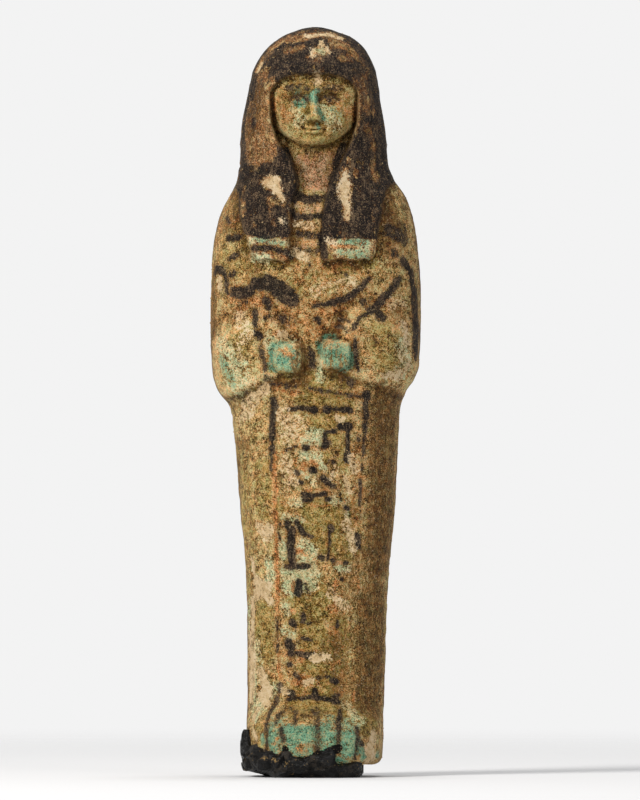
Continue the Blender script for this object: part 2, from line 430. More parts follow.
UMBER_CLOUDS: tuple[Cloud, ...] = clouds(
    (288, 252, 30, -27, 1200, 54, -10), (216, 360, 85, 128, 669, -4, -117, -10, -163),
    (216, 360, 90, 106, 317, -3, -90, -7, -90), (108, 180, 60, 150, 678, -11, -126, -7, -163),
    (126, 216, 50, 67, 389, -4, -144), (126, 180, 55, 27, 236, 36, 9), (108, 180, 50, 18, 537, 9, -14),
    (108, 180, 45, -27, 1125, 50, -2), (72, 144, 40, -34, 1101, 3, -36), (108, 144, 60, 40, 1110, -8, -21),
    (144, 180, 72, 124, 1045, 18, -70), (90, 144, 50, -142, 1045, -18, -54),
    (90, 162, 65, -180, 912, -4, -108), (108, 180, 70, -103, 1236, -14, -72),
    (108, 216, 55, 27, 764, 27, -43), (108, 144, 70, -27, 764, 4, -50), (72, 126, 80, -40, 1011, 2, -72),
    (90, 144, 60, -139, 570, 6, -145), (72, 108, 60, 117, 705, 33, -6), (90, 144, 45, 54, 488, 13, -135),
    (72, 144, 60, -150, 606, 26, -8), (108, 144, 50, -117, 926, 11, -43), (180, 216, 48, 38, 218, 21, -63),
    (54, 90, 55, 2, 74, 2, -24),
)

RUST_CLOUDS: tuple[Cloud, ...] = clouds(
    (252, 360, 80, -45, 822, 72, -4), (180, 252, 80, -135, 862, 39, -15), (144, 252, 65, 36, 840, 31, -40),
    (144, 180, 75, -72, 1218, 18, -21), (144, 180, 70, 40, 1222, 23, -18), (90, 144, 80, 45, 1309, 29, -22),
    (72, 108, 75, -105, 1269, 9, 14), (90, 144, 70, -108, 1245, 12, -72), (126, 180, 70, -162, 993, 20, 18),
    (144, 216, 55, -18, 894, 81, 14), (108, 144, 75, 132, 944, 18, -7), (90, 144, 60, -184, 858, 6, -81),
    (72, 126, 70, -72, 701, 45, -5), (72, 126, 60, 27, 689, 45, -2), (72, 108, 55, 54, 1078, 2, -7),
    (108, 180, 60, -150, 885, 15, -18), (90, 144, 60, -34, 180, 29, -11), (54, 90, 70, 92, 1172, 14, -80),
    (90, 144, 55, -56, 566, 29, -14), (90, 144, 50, -31, 411, 15, -22), (72, 108, 50, 38, 335, 3, -39),
    (72, 108, 60, 41, 957, -10, -9), (126, 180, 45, -52, 209, 25, -14), (108, 180, 40, 18, 72, 9, -25),
    (72, 108, 55, -56, 764, 15, -9), (90, 126, 55, -67, 61, 11, -12), (72, 108, 55, 5, 97, 33, -9),
    (72, 108, 50, -27, 50, 22, -7), (72, 108, 55, -45, 97, 18, -3), (180, 216, 60, 27, 872, 76, -14),
    (216, 252, 55, -150, 825, 8, 33), (180, 216, 55, -27, 926, 58, -7), (144, 180, 60, -27, 999, 25, -44),
    (108, 144, 55, 135, 885, 15, -81), (72, 108, 55, 74, 606, 2, -145), (108, 144, 50, -52, 497, 11, -21),
    (90, 126, 60, 32, 272, 9, -117), (90, 144, 50, -27, 195, 22, -40), (72, 108, 60, -52, 227, 25, -13),
    (108, 144, 62, -157, 1027, -18, -61), (90, 144, 62, 128, 1013, 18, -18),
    (72, 126, 60, 146, 955, 14, -21),
)

YELLOW_CLOUDS: tuple[Cloud, ...] = clouds(
    (469, 216, 95, -31, 1226, 62, 0), (397, 216, 95, -18, 1186, 36, -4), (216, 252, 90, -153, 939, 21, -20),
    (180, 216, 85, -142, 1020, -15, -50), (144, 180, 70, 146, 1029, 11, -81),
    (180, 216, 55, 139, 930, 11, -4), (216, 324, 60, -34, 912, 88, 11), (216, 252, 60, 139, 777, 0, -56),
    (252, 324, 65, -128, 786, -14, -79), (162, 216, 70, -41, 703, 95, 0),
    (216, 324, 50, -110, 624, 4, -127), (216, 288, 55, -31, 674, 85, -54),
    (180, 252, 50, -49, 299, 76, -72), (144, 180, 60, -96, 389, 0, -144), (144, 180, 50, -96, 155, 8, -40),
)


def ease(t: Array | float) -> Array:
    """A step from 0 to 1 with soft ends, for t from 0 to 1."""
    t = np.clip(t, 0.0, 1.0)
    return t * t * (3.0 - 2.0 * t)


def bump(distance: Array | float, reach: float = 1.0) -> Array:
    """A round hump that is 1 at no distance and 0 from the reach on."""
    return ease(1.0 - np.abs(distance) / reach)


def rounded(side: Array, end: Array, radius: float) -> Array:
    """How far inside both of two edges each point lies, where the edges meet in a round corner.

    Args:
        side: how far inside the first edge.
        end: how far inside the second edge.
        radius: the corner's radius.

    Returns:
        How far inside the outline that both edges make.
    """
    corner = radius - np.hypot(np.maximum(radius - side, 0.0), np.maximum(radius - end, 0.0))
    return np.where((side < radius) & (end < radius), corner, np.minimum(side, end))


def through(stops: list[Point2] | tuple[Point2, ...], at: Array | float) -> Array:
    """Reads a smooth line through stops, one that never overshoots them.

    Args:
        stops: places in rising order, each with its value.
        at: the places to read.

    Returns:
        The value at each place.
    """
    places, values = np.array(stops, float).T
    steps = np.diff(values) / np.diff(places)
    slopes = np.zeros_like(values)
    slopes[0], slopes[-1] = steps[0], steps[-1]
    product = steps[:-1] * steps[1:]
    turning = product <= 0.0
    total = np.where(turning, 1.0, steps[:-1] + steps[1:])
    slopes[1:-1] = np.where(turning, 0.0, 2.0 * product / total)
    at = np.clip(at, places[0], places[-1])
    cell = np.clip(np.searchsorted(places, at, side="right") - 1, 0, len(steps) - 1)
    width = places[cell + 1] - places[cell]
    t = (at - places[cell]) / width
    rise = values[cell + 1] - values[cell]
    start, end = slopes[cell] * width, slopes[cell + 1] * width
    return values[cell] + start * t + (3 * rise - 2 * start - end) * t**2 + (start + end - 2 * rise) * t**3


def lattice_value(corner: Array, seed: int) -> Array:
    """Gives each corner of a cubic lattice a fixed number.

    Args:
        corner: the corners, one row of whole numbers each.
        seed: which of the endless lattices.

    Returns:
        A number from -1 to 1 for each corner.
    """
    mixed = np.full(len(corner), seed * SEED_PRIME)
    for cell, prime in zip(corner.astype(np.int64).T, HASH_PRIMES, strict=True):
        mixed = mixed ^ cell * prime
    for shift, factor in HASH_ROUNDS:
        mixed = ((mixed ^ (mixed >> shift)) * factor) & HASH_BITS
    return (mixed ^ (mixed >> 16)) / 2.0**31 - 1.0


def noise(points: Array, grain: float, seed: int, octaves: int = 1) -> Array:
    """Smooth noise from about -1 to 1, the same on every run.

    Args:
        points: places in millimetres, one row each.
        grain: the size of its largest lumps, in millimetres.
        seed: which of the endless noises.
        octaves: how many finer layers it has, each half as large and half as strong.

    Returns:
        One value for each point.
    """
    total = np.zeros(len(points))
    weight = 1.0
    for octave in range(octaves):
        spot = points / grain * 2.0**octave + OCTAVE_SHIFT * octave
        corner = np.floor(spot)
        t = spot - corner
        t = t * t * (3.0 - 2.0 * t)
        for step in np.ndindex(2, 2, 2):
            share = np.prod(np.where(np.array(step) == 1, t, 1.0 - t), axis=1)
            total += weight * share * lattice_value(corner + np.array(step), seed + octave)
        weight *= 0.5
    return total / (2.0 - 2.0 * weight)


def line_distance(points: Array, line: Array) -> Array:
    """Measures how far points lie from a line.

    Args:
        points: the points, one row each.
        line: the line's points in space, two or more.

    Returns:
        The distance of each point from the line.
    """
    nearest = np.full(len(points), np.inf)
    for start, end in zip(line[:-1], line[1:], strict=True):
        along = end - start
        t = np.clip((points - start) @ along / max(float(along @ along), 1e-9), 0.0, 1.0)
        nearest = np.minimum(nearest, np.linalg.norm(points - start - t[:, None] * along, axis=1))
    return nearest


def linear(red: int, green: int, blue: int) -> Colour:
    """Turns a colour of the 8-bit scale into light.

    Args:
        red: its red, from 0 to 255.
        green: its green.
        blue: its blue.

    Returns:
        The same colour on the linear scale of a shader.
    """
    levels = np.array([red, green, blue]) / 255.0
    light = np.where(levels <= 0.04045, levels / 12.92, ((levels + 0.055) / 1.055) ** 2.4)
    return tuple(float(value) for value in light)


@dataclass
class FigureForm:
    """The carved form of the figure, in hundredths of its height."""

    brow_line: float = 93.6
    brow_arch: float = 0.028
    brow_round: float = 2.2
    lappet_end: float = 68.3
    lappet_round: float = 1.1
    lappet_wave: float = 0.12
    lappet_relief: float = 0.8
    lappet_roll: float = 0.3
    wig_hem: float = 76.0
    wig_relief: float = 0.55
    face_frame: float = 0.35
    edge_width: float = 0.34
    inner_share: float = 0.62
    outer_share: float = 0.90
    chin: float = 83.4
    eye_line: float = 90.0
    brow: float = 91.3
    nose_foot: float = 87.3
    mouth: float = 86.0
    face_axis: float = -0.15
    face_half_width: float = 6.5
    face_middle: float = 89.2
    face_plane: float = 3.9
    face_depth: float = 3.5
    forehead: float = 16.0
    jaw_taper: float = 0.46
    eye_width: float = 2.0
    eye_half: float = 1.02
    neck_front: float = 5.2
    neck_curve: float = 0.055
    neck_foot: float = 75.0
    skin_blend: float = 0.22
    arm_radius: float = 3.0
    arm_relief: float = 0.75
    arm_slope: float = 0.4
    fist_half_width: float = 2.1
    fist_relief: float = 0.6
    arms: tuple[tuple[Point2, Point2, Point2], ...] = (
        ((-11.8, 52.6), (-6.9, 54.6), (-3.8, 55.0)),
        ((11.8, 53.2), (5.9, 55.0), (2.9, 55.5)),
    )

    def level_at(self, station: Array | float) -> list[Array]:
        """Reads the outline at a station.

        Args:
            station: the place down the figure, counted in levels.

        Returns:
            The height, the reaches left, right, front and back, and the squareness there.
        """
        numbers = np.arange(-1, len(LEVELS) + 1)
        measures = []
        for name in Level._fields:
            column = [getattr(level, name) for level in LEVELS]
            sign = 1.0 if name in ("height", "squareness") else -1.0
            column = [sign * column[1], *column, sign * column[-2]]
            measures.append(through(list(zip(numbers, column, strict=True)), station))
        return measures

    def station_at(self, height: Array | float) -> Array:
        """Finds the station at which the outline has a height.

        Args:
            height: the height above the sole.

        Returns:
            The place down the figure, counted in levels.
        """
        stations = np.linspace(0.0, SOLE_EDGE, 4001)
        return np.interp(-np.asarray(height), -self.level_at(stations)[0], stations)

    @staticmethod
    def section(
        angle: Array, left: Array, right: Array, front: Array, back: Array, square: Array
    ) -> tuple[Array, Array]:
        """Finds places on a rounded section.

        Args:
            angle: their directions, counted from the front.
            left: how far the section reaches to the left.
            right: how far it reaches to the right.
            front: how far it reaches forward.
            back: how far it reaches back.
            square: its squareness, which is 2 for an ellipse.

        Returns:
            The places across, and from front to back.
        """
        side, ahead = np.sin(angle), np.cos(angle)
        power = 2.0 / square
        across = np.sign(side) * np.abs(side) ** power * np.where(side > 0.0, right, left)
        deep = -np.sign(ahead) * np.abs(ahead) ** power * np.where(ahead > 0.0, front, back)
        return across, deep

    def skin_opening(self, across: Array, height: Array) -> Array:
        """Measures the opening of the wig, in which face, neck and chest lie bare.

        Args:
            across: places across.
            height: heights above the sole.

        Returns:
            How far inside the line where wig and lappets begin each place lies.
        """
        left = across - through(INNER_EDGE_LEFT, height)
        right = through(INNER_EDGE_RIGHT, height) - across
        brow = self.brow_line - self.brow_arch * (across - self.face_axis) ** 2 - height
        return rounded(np.minimum(left, right), brow, self.brow_round)

    def lappet_inside(self, across: Array, height: Array) -> Array:
        """Measures the two lappets and the wig above them.

        Args:
            across: places across.
            height: heights above the sole.

        Returns:
            How far inside their outer edges and above their ends each place lies.
        """
        left = across - through(OUTER_EDGE_LEFT, height)
        right = through(OUTER_EDGE_RIGHT, height) - across
        low = height < self.lappet_end + 3.0
        inner = np.where(low, 0.4 - self.skin_opening(across, height), self.lappet_round)
        end = height - self.lappet_end - self.lappet_wave * np.sin(1.9 * across + 1.0)
        return rounded(np.minimum(np.minimum(left, right), inner), end, self.lappet_round)

    def brow_height(self, aside: Array) -> Array:
        """The height of the brows' middle line at each distance from the face's middle."""
        return self.brow + 0.12 + 0.3 * np.sin(np.clip((aside - 0.5) / 3.3, 0.0, 1.0) * math.pi)

    def eye_opening(self, x: Array) -> Array:
        """Half the opening of an eye, from -1 at its inner to 1 at its outer corner."""
        return 0.42 * np.clip(1.0 - x**2, 0.0, 1.0) ** 0.75

    def eye_relief(self, aside: Array, height: Array) -> Array:
        """Carves an almond eye between two lids, in its socket.

        Args:
            aside: distances from the face's middle.
            height: heights above the sole.

        Returns:
            How far forward the eye stands at each place.
        """
        x = (aside - self.eye_width) / self.eye_half
        y = height - self.eye_line - 0.05 * x
        opening = self.eye_opening(x)
        ball = np.sqrt(np.clip(1.0 - (x * 0.9) ** 2 - (y / 0.62) ** 2, 0.0, 1.0))
        inside = ease((opening - np.abs(y)) / 0.12 + 0.5) * (np.abs(x) < 1.0)
        lids = (bump(y - opening, 0.26) + 0.7 * bump(y + opening, 0.22)) * bump(x, 1.45)
        socket = np.hypot((aside - self.eye_width) / 1.75, (height - self.eye_line - 0.25) / 1.15)
        return 0.26 * ball * inside + 0.2 * np.clip(lids, 0.0, 1.0) - 0.5 * ease(1.25 - socket)

    def nose_relief(self, aside: Array, height: Array) -> Array:
        """Carves a straight nose that widens to its wings.

        Args:
            aside: distances from the face's middle.
            height: heights above the sole.

        Returns:
            How far forward the nose stands at each place.
        """
        t = np.clip((self.brow + 0.4 - height) / (self.brow + 0.4 - self.nose_foot), 0.0, 1.0)
        ridge = (0.22 + 0.95 * t**1.25) * ease((height - self.nose_foot + 0.42) / 0.5)
        ridge = ridge * ease((self.brow + 0.9 - height) / 1.1)
        nose = ridge * np.exp(-((aside / (0.46 + 0.4 * t**2.2)) ** 2.3))
        wing = np.hypot((aside - 0.68) / 0.44, (height - self.nose_foot - 0.32) / 0.46)
        nostril = np.hypot((aside - 0.36) / 0.2, (height - self.nose_foot + 0.12) / 0.2)
        return nose + 0.42 * ease(1.2 - wing) - 0.25 * ease(1.2 - nostril)

    def mouth_relief(self, aside: Array, height: Array) -> Array:
        """Carves two closed lips, the groove between them and the dents at their corners.

        Args:
            aside: distances from the face's middle.
            height: heights above the sole.

        Returns:
            How far forward the mouth stands at each place.
        """
        span = np.clip(1.0 - (aside / 1.35) ** 2, 0.0, 1.0)
        parting = self.mouth + 0.07 * (1.0 - span) - 0.05 * bump(aside, 0.4)
        y = height - parting
        upper = 0.42 * bump(y - 0.26, 0.42) * span**0.6 * (1.0 - 0.25 * bump(aside, 0.25))
        lower = 0.46 * bump(y + 0.30, 0.46) * np.clip(1.0 - (aside / 1.25) ** 2, 0.0, 1.0) ** 0.6
        groove = 0.3 * bump(y, 0.15) * ease(span * 3.0)
        corner = np.hypot((aside - 1.4) / 0.32, y / 0.32)
        philtrum = 0.1 * bump(aside, 0.24) * bump(height - self.mouth - 0.85, 0.5)
        crease = 0.14 * bump(height - self.mouth + 0.95, 0.42) * bump(aside, 1.2)
        return upper + lower - groove - 0.14 * ease(1.2 - corner) - philtrum - crease

    def face_relief(self, across: Array, height: Array) -> Array:
        """Carves brows, eyes, nose, cheeks, lips and chin on the plain face.

        Args:
            across: places across.
            height: heights above the sole.

        Returns:
            How far forward they stand at each place.
        """
        aside = np.abs(across - self.face_axis)
        arch = self.brow_height(aside)
        brows = 0.34 * bump(height - arch, 0.36) * ease((aside - 0.25) / 0.5) * ease((3.9 - aside) / 0.8)
        cheek = np.hypot((aside - 2.6) / 1.7, (height - 88.0) / 1.3)
        chin = np.hypot(aside / 1.5, (height - self.chin - 1.1) / 0.85)
        relief = brows + 0.16 * ease(1.2 - cheek) + 0.34 * ease(1.3 - chin)
        for carved in (self.eye_relief, self.nose_relief, self.mouth_relief):
            relief = relief + carved(aside, height)
        return relief

    def face_and_neck(self, across: Array, height: Array, chest: Array) -> Array:
        """Shapes the skin inside the wig: the face, the throat and the bare chest.

        Args:
            across: places across.
            height: heights above the sole.
            chest: how far forward the plain chest lies.

        Returns:
            How far forward the skin lies at each place.
        """
        lower_face = self.face_middle - self.chin
        jaw = np.clip((self.face_middle - height) / lower_face, 0.0, 1.0)
        aside = np.abs(across - self.face_axis) / (self.face_half_width * (1.0 - self.jaw_taper * jaw**1.8))
        below = np.where(height < self.face_middle, (self.face_middle - height) / (lower_face + 0.35), 0.0)
        above = np.where(height > self.face_middle, (height - self.face_middle) / self.forehead, 0.0)
        rounding = np.clip(1.0 - aside**2.4 - below**2.6 - above**2.0, 0.0, 1.0)
        face = self.face_plane + self.face_depth * np.sqrt(rounding)
        face = face + self.face_relief(across, height) * ease(rounding * 3.0)
        throat = self.neck_front - self.neck_curve * (across - self.face_axis) ** 2
        fall = ease((height - self.neck_foot) / (self.chin - self.neck_foot))
        throat = chest + (throat - chest) * fall
        blend = ease(0.5 + (face - throat) / (2.0 * self.skin_blend))
        return throat + (face - throat) * blend

    def arm_relief_at(self, across: Array, height: Array) -> Array:
        """Raises the folded forearms and the two fists side by side over the waist.

        Args:
            across: places across.
            height: heights above the sole.

        Returns:
            How far forward they stand at each place.
        """
        relief = np.zeros_like(across)
        for elbow, wrist, fist in self.arms:
            along = np.clip((across - elbow[0]) / (wrist[0] - elbow[0]), 0.0, 1.0)
            above = height - elbow[1] - along * (wrist[1] - elbow[1])
            beside = across - elbow[0] - along * (wrist[0] - elbow[0])
            arm = np.hypot(beside, above * np.where(above > 0.0, self.arm_slope, 1.0)) / self.arm_radius
            hand = ((across - fist[0]) ** 4 + (height - fist[1]) ** 4) ** 0.25 / self.fist_half_width
            relief = np.maximum(relief, self.arm_relief * ease(2.2 * (1.15 - arm)))
            relief = np.maximum(relief, (self.arm_relief + self.fist_relief) * ease(2.2 * (1.2 - hand)))
        return relief

    def carve(self, across: Array, deep: Array, height: Array, half_width: Array) -> Array:
        """Applies the carving to the plain outline.

        Args:
            across: places across.
            deep: places from front to back on the plain outline.
            height: heights above the sole.
            half_width: half the outline's width at each place.

        Returns:
            The places from front to back on the carved surface.
        """
        facing = ease(-4.0 * deep / half_width)
        behind = ease(4.0 * deep / half_width)
        plain = -deep
        opening = self.skin_opening(across, height)
        inside = self.lappet_inside(across, height)
        frame_edge = self.face_frame * ease(1.5 + opening / 1.6) * ease((height - self.chin) / 3.0)
        cover = ease(inside / self.edge_width + 0.5)
        roll = self.lappet_roll * bump(height - 70.0, 1.9) * ease(inside)
        lappet = plain + (self.lappet_relief * cover + frame_edge + roll) * facing
        skin = self.face_and_neck(across, height, plain)
        bare = ease(opening / self.edge_width + 0.5) * facing * (height > self.lappet_end - self.edge_width)
        front = lappet + (skin - lappet) * bare + self.arm_relief_at(across, height) * facing
        ripple = 0.16 * np.sin(0.8 * across + 0.6) + 0.08 * np.sin(2.3 * across)
        hem = ease((height - self.wig_hem + ripple) / (2.0 * self.edge_width))
        hem = self.wig_relief * hem * ease((90.0 - height) / 10.0)
        return np.where(deep < 0.0, -front, deep + hem * behind)

    def front_point(self, across: float, up: float) -> Array:
        """Finds a point of the front in space.

        Args:
            across: its place across, in millimetres.
            up: its height above the ground, in millimetres.

        Returns:
            The point on the plain outline, in millimetres.
        """
        height = (up * MM - SOLE) / PART
        _, left, right, front, _, square = (float(value) for value in self.level_at(self.station_at(height)))
        reach = right if across > 0.0 else left
        share = min(abs(across * MM / PART) / max(reach, 1e-6), 1.0)
        deep = front * (1.0 - share**square) ** (1.0 / square)
        side = math.copysign(share * reach, across)
        return np.array([side * PART / MM, -deep * PART / MM, up])


@dataclass
class PaintPlan:
    """Where the paint, the glazes, the stains and the losses lie on the figure, in millimetres."""

    form: FigureForm
    whole: float = 0.4
    floor: float = -1.6
    brush_drift: float = 0.25
    torn_drift: float = 0.75
    face_line: float = 0.02

    def near_line(self, points: Array, mark: Daub | Cloud, margin: float) -> tuple[Array, Array]:
        """Measures the points that lie near a mark's or a stain's line.

        Args:
            points: places on the plain outline, in millimetres.
            mark: the mark or the stain.
            margin: how far round its line to look, in millimetres.

        Returns:
            Which points lie near, and how far each of those is from the line.
        """
        line = np.array([self.form.front_point(*spot) for spot in mark.line])
        near = np.all((points > line.min(axis=0) - margin) & (points < line.max(axis=0) + margin), axis=1)
        return near, line_distance(points[near], line)

    def daubs(self, points: Array, marks: tuple[Daub, ...]) -> Array:
        """How far inside a set of marks each point lies.

        Args:
            points: places on the plain outline, in millimetres.
            marks: the marks.

        Returns:
            Millimetres inside the nearest mark, negative outside, lowered where it is worn.
        """
        cover = np.full(len(points), self.floor)
        for mark in marks:
            near, distance = self.near_line(points, mark, mark.half - self.floor)
            inside = np.minimum(mark.half - distance, self.whole - mark.wear)
            cover[near] = np.maximum(cover[near], inside)
        return cover

    def clouds(self, points: Array, stains: tuple[Cloud, ...]) -> Array:
        """How strong a set of soft stains is at each point.

        Args:
            points: places on the plain outline, in millimetres.
            stains: the stains.

        Returns:
            The strength of the strongest, from 0 to 1.
        """
        strength = np.zeros(len(points))
        for stain in stains:
            near, distance = self.near_line(points, stain, stain.half + stain.fade)
            fall = ease(1.0 - (distance - stain.half) / stain.fade)
            strength[near] = np.maximum(strength[near], stain.strength * fall)
        return strength

    def wig_inside(self, points: Array) -> Array:
        """Measures the wig with its lappets.

        Args:
            points: places on the plain outline, in millimetres.

        Returns:
            How far inside the wig each point lies, in millimetres.
        """
        across, height = points[:, 0] * MM / PART, (points[:, 2] * MM - SOLE) / PART
        front = np.minimum(self.form.lappet_inside(across, height), -self.form.skin_opening(across, height))
        rear = height - self.form.wig_hem
        side = ease(points[:, 1] / 4.0 + 0.5)
        return (front + (rear - front) * side) * PART / MM

    def layers(self, points: Array) -> dict[Layer, Array]:
        """Works out every layer.

        Args:
            points: places on the plain outline, in millimetres.

        Returns:
            One value for each point: millimetres inside its marks for a layer with edges, and
            a strength from 0 to 1 for a stain.
        """
        x, y, z = points.T
        drift = np.stack([noise(points, 3.2, seed, 3) for seed in (11, 12, 13)], axis=-1)
        moved, torn = points + self.brush_drift * drift, points + self.torn_drift * drift
        wig = self.wig_inside(moved)
        unseen = ease((y + 4.0) / 4.0)
        right_side = ease(x / 5.0) * ease((9.0 - y) / 9.0)
        upper = ease((z - 88.0) / 10.0)
        damp = noise(points, 9.0, 41, 3)
        scorched = noise(points, 6.0, 53, 3)

        def patches(grain: float, seed: int, least: float) -> Array:
            """Patches of a glaze or a loss, at random where no mark is laid out."""
            return (2.4 * noise(points, grain, seed, 4) - least) * unseen - 2.0 * (1.0 - unseen)

        inked = (self.wig_ink(points, torn, wig), self.daubs(moved, INK_LINES), self.face_lines(moved))
        edged = {
            Layer.INK: np.maximum.reduce(inked),
            Layer.TEXT: self.daubs(moved, TEXT_STROKES),
            Layer.PITCH: self.daubs(moved, RESIN_SMEARS),
            Layer.TURQUOISE: np.maximum(self.daubs(torn, TURQUOISE), patches(5.0, 45, 1.0)),
            Layer.PALE_GLAZE: np.maximum(self.daubs(torn, PALE_GLAZE), patches(7.0, 43, 0.85)),
            Layer.FLAKE: np.maximum(self.daubs(torn, FLAKES), patches(5.5, 47, 0.95)),
            Layer.LOST_LINE: self.daubs(moved, LOST_LINES),
            Layer.ROSE: self.daubs(torn, ROSY_PLACES),
        }
        stains = {
            Layer.YELLOW: (YELLOW_CLOUDS, 0.4 + 0.3 * noise(points, 11.0, 59, 2)),
            Layer.OLIVE: (OLIVE_CLOUDS, (0.36 + 0.9 * damp) * unseen),
            Layer.UMBER: (UMBER_CLOUDS, (0.32 - 1.4 * damp + 0.35 * right_side) * unseen),
            Layer.RUST: (RUST_CLOUDS, (0.1 + 0.3 * upper + 0.6 * scorched) * unseen),
        }
        soft = {layer: np.maximum(self.clouds(moved, laid), least) for layer, (laid, least) in stains.items()}
        return {**edged, **soft, Layer.WIG: ease(wig / 0.4 + 0.5)}

    def wig_ink(self, points: Array, torn: Array, wig: Array) -> Array:
        """Paints the wig, worn where the marks say and at random behind.

        Args:
            points: places on the plain outline, in millimetres.
            torn: the same places, moved as the torn edges of the losses are.
            wig: how far inside the wig they lie, in millimetres.

        Returns:
            Millimetres inside the paint.
        """
        worn = 0.7 * self.daubs(torn, WORN_PATCHES) + 0.1
        behind = ease((points[:, 1] + 1.5 * noise(points, 5.0, 61, 2) - 1.0) / 4.0)
        long_worn = 1.5 * noise(points * (1.0, 1.0, 0.45), 5.5, 31, 4) - 0.16
        worn = worn + (np.clip(long_worn, -0.5, 0.3) - worn) * behind
        scuffed = self.whole - 0.08 + 0.8 * noise(points, 4.5, 37, 3)
        foot = 1.9 * (points[:, 2] - self.band_foot(points))
        return np.minimum.reduce((wig + 0.12, np.minimum(self.whole, scuffed), -worn, foot))

    def face_lines(self, points: Array) -> Array:
        """Draws the painted brows and eye lines.

        Args:
            points: places on the plain outline, in millimetres.

        Returns:
            How far inside the lines each point lies, in millimetres.
        """
        form = self.form
        aside = np.abs(points[:, 0] * MM / PART - form.face_axis)
        height = (points[:, 2] * MM - SOLE) / PART
        arch = form.brow_height(aside) - height
        brows = 0.30 - np.abs(arch) - 1.5 * np.maximum(np.maximum(0.7 - aside, aside - 3.7), 0.0)
        x = (aside - form.eye_width) / form.eye_half
        lid = form.eye_line + 0.05 * x + form.eye_opening(x) - height
        lids = 0.17 - np.abs(lid) - 1.5 * np.maximum(np.abs(x) - 1.25, 0.0)
        iris = 0.27 - np.hypot(aside - form.eye_width, height - form.eye_line)
        marks = np.maximum(np.maximum(brows, lids), iris) * PART / MM
        return np.where(points[:, 1] < 0.0, np.minimum(marks, self.face_line), self.floor)

    def band_foot(self, points: Array) -> Array:
        """Finds where the wig's paint ends above the glazed bands of the lappets.

        Args:
            points: places on the plain outline, in millimetres.

        Returns:
            The paint's lower edge, in millimetres, far below the figure where there is no band.
        """
        left = 97.0 + 0.4 * np.sin(points[:, 0] * 0.9)
        right = 96.9 - 0.5 * ((points[:, 0] - 7.0) / 4.0) ** 2
        inside = np.where(points[:, 0] < 0.0, left, right)
        lappets = (np.abs(points[:, 0]) < 13.0) & (points[:, 1] < 0.0)
        return np.where(lappets, inside, -100.0)


def sphere_mesh(name: str, points: Array, rows: int) -> bpy.types.Mesh:
    """Makes a closed mesh from rows of points with a pole at each end.

    Args:
        name: the mesh's name.
        points: the rows from the top down, each going round from the back over the left, and
            after them the upper and the lower pole.
        rows: how many rows there are.

    Returns:
        A smooth mesh whose faces point outwards.
    """
    top, foot = len(points) - 2, len(points) - 1
    index = np.arange(top).reshape(rows, -1)
    right = np.roll(index, -1, axis=1)
    quads = np.stack([index[:-1], index[1:], right[1:], right[:-1]], axis=-1).reshape(-1, 4)
    crown = [(top, int(a), int(b)) for a, b in zip(index[0], right[0], strict=True)]
    sole = [(foot, int(b), int(a)) for a, b in zip(index[-1], right[-1], strict=True)]
    mesh = bpy.data.meshes.new(name)
    mesh.from_pydata(points.tolist(), [], [*quads.tolist(), *crown, *sole])
    mesh.update()
    mesh.shade_smooth()
    return mesh


def directions_out(points: Array, rows: int) -> Array:
    """Works out the direction out of a closed mesh at each of its points.

    Args:
        points: the mesh's rows and its poles, as for sphere_mesh.
        rows: how many rows there are.

    Returns:
        One direction for each point.
    """
    draft = sphere_mesh("draft", points, rows)
    normals = np.zeros(points.size)
    draft.vertices.foreach_get("normal", normals)
    bpy.data.meshes.remove(draft)
    return normals.reshape(-1, 3)


def add_layer(mesh: bpy.types.Mesh, layer: Layer, values: Array) -> None:
    """Stores one number for each point of a mesh."""
    mesh.attributes.new(layer.value, "FLOAT", "POINT").data.foreach_set("value", values.astype(np.float32))


def place(mesh: bpy.types.Mesh, material: bpy.types.Material | None = None) -> bpy.types.Object:
    """Puts a mesh in the scene as an object of its own at the origin.

    Args:
        mesh: the mesh.
        material: its material, if it has no other yet.

    Returns:
        The object.
    """
    piece = bpy.data.objects.new(mesh.name, mesh)
    bpy.context.scene.collection.objects.link(piece)
    if material is not None:
        mesh.materials.append(material)
    return piece


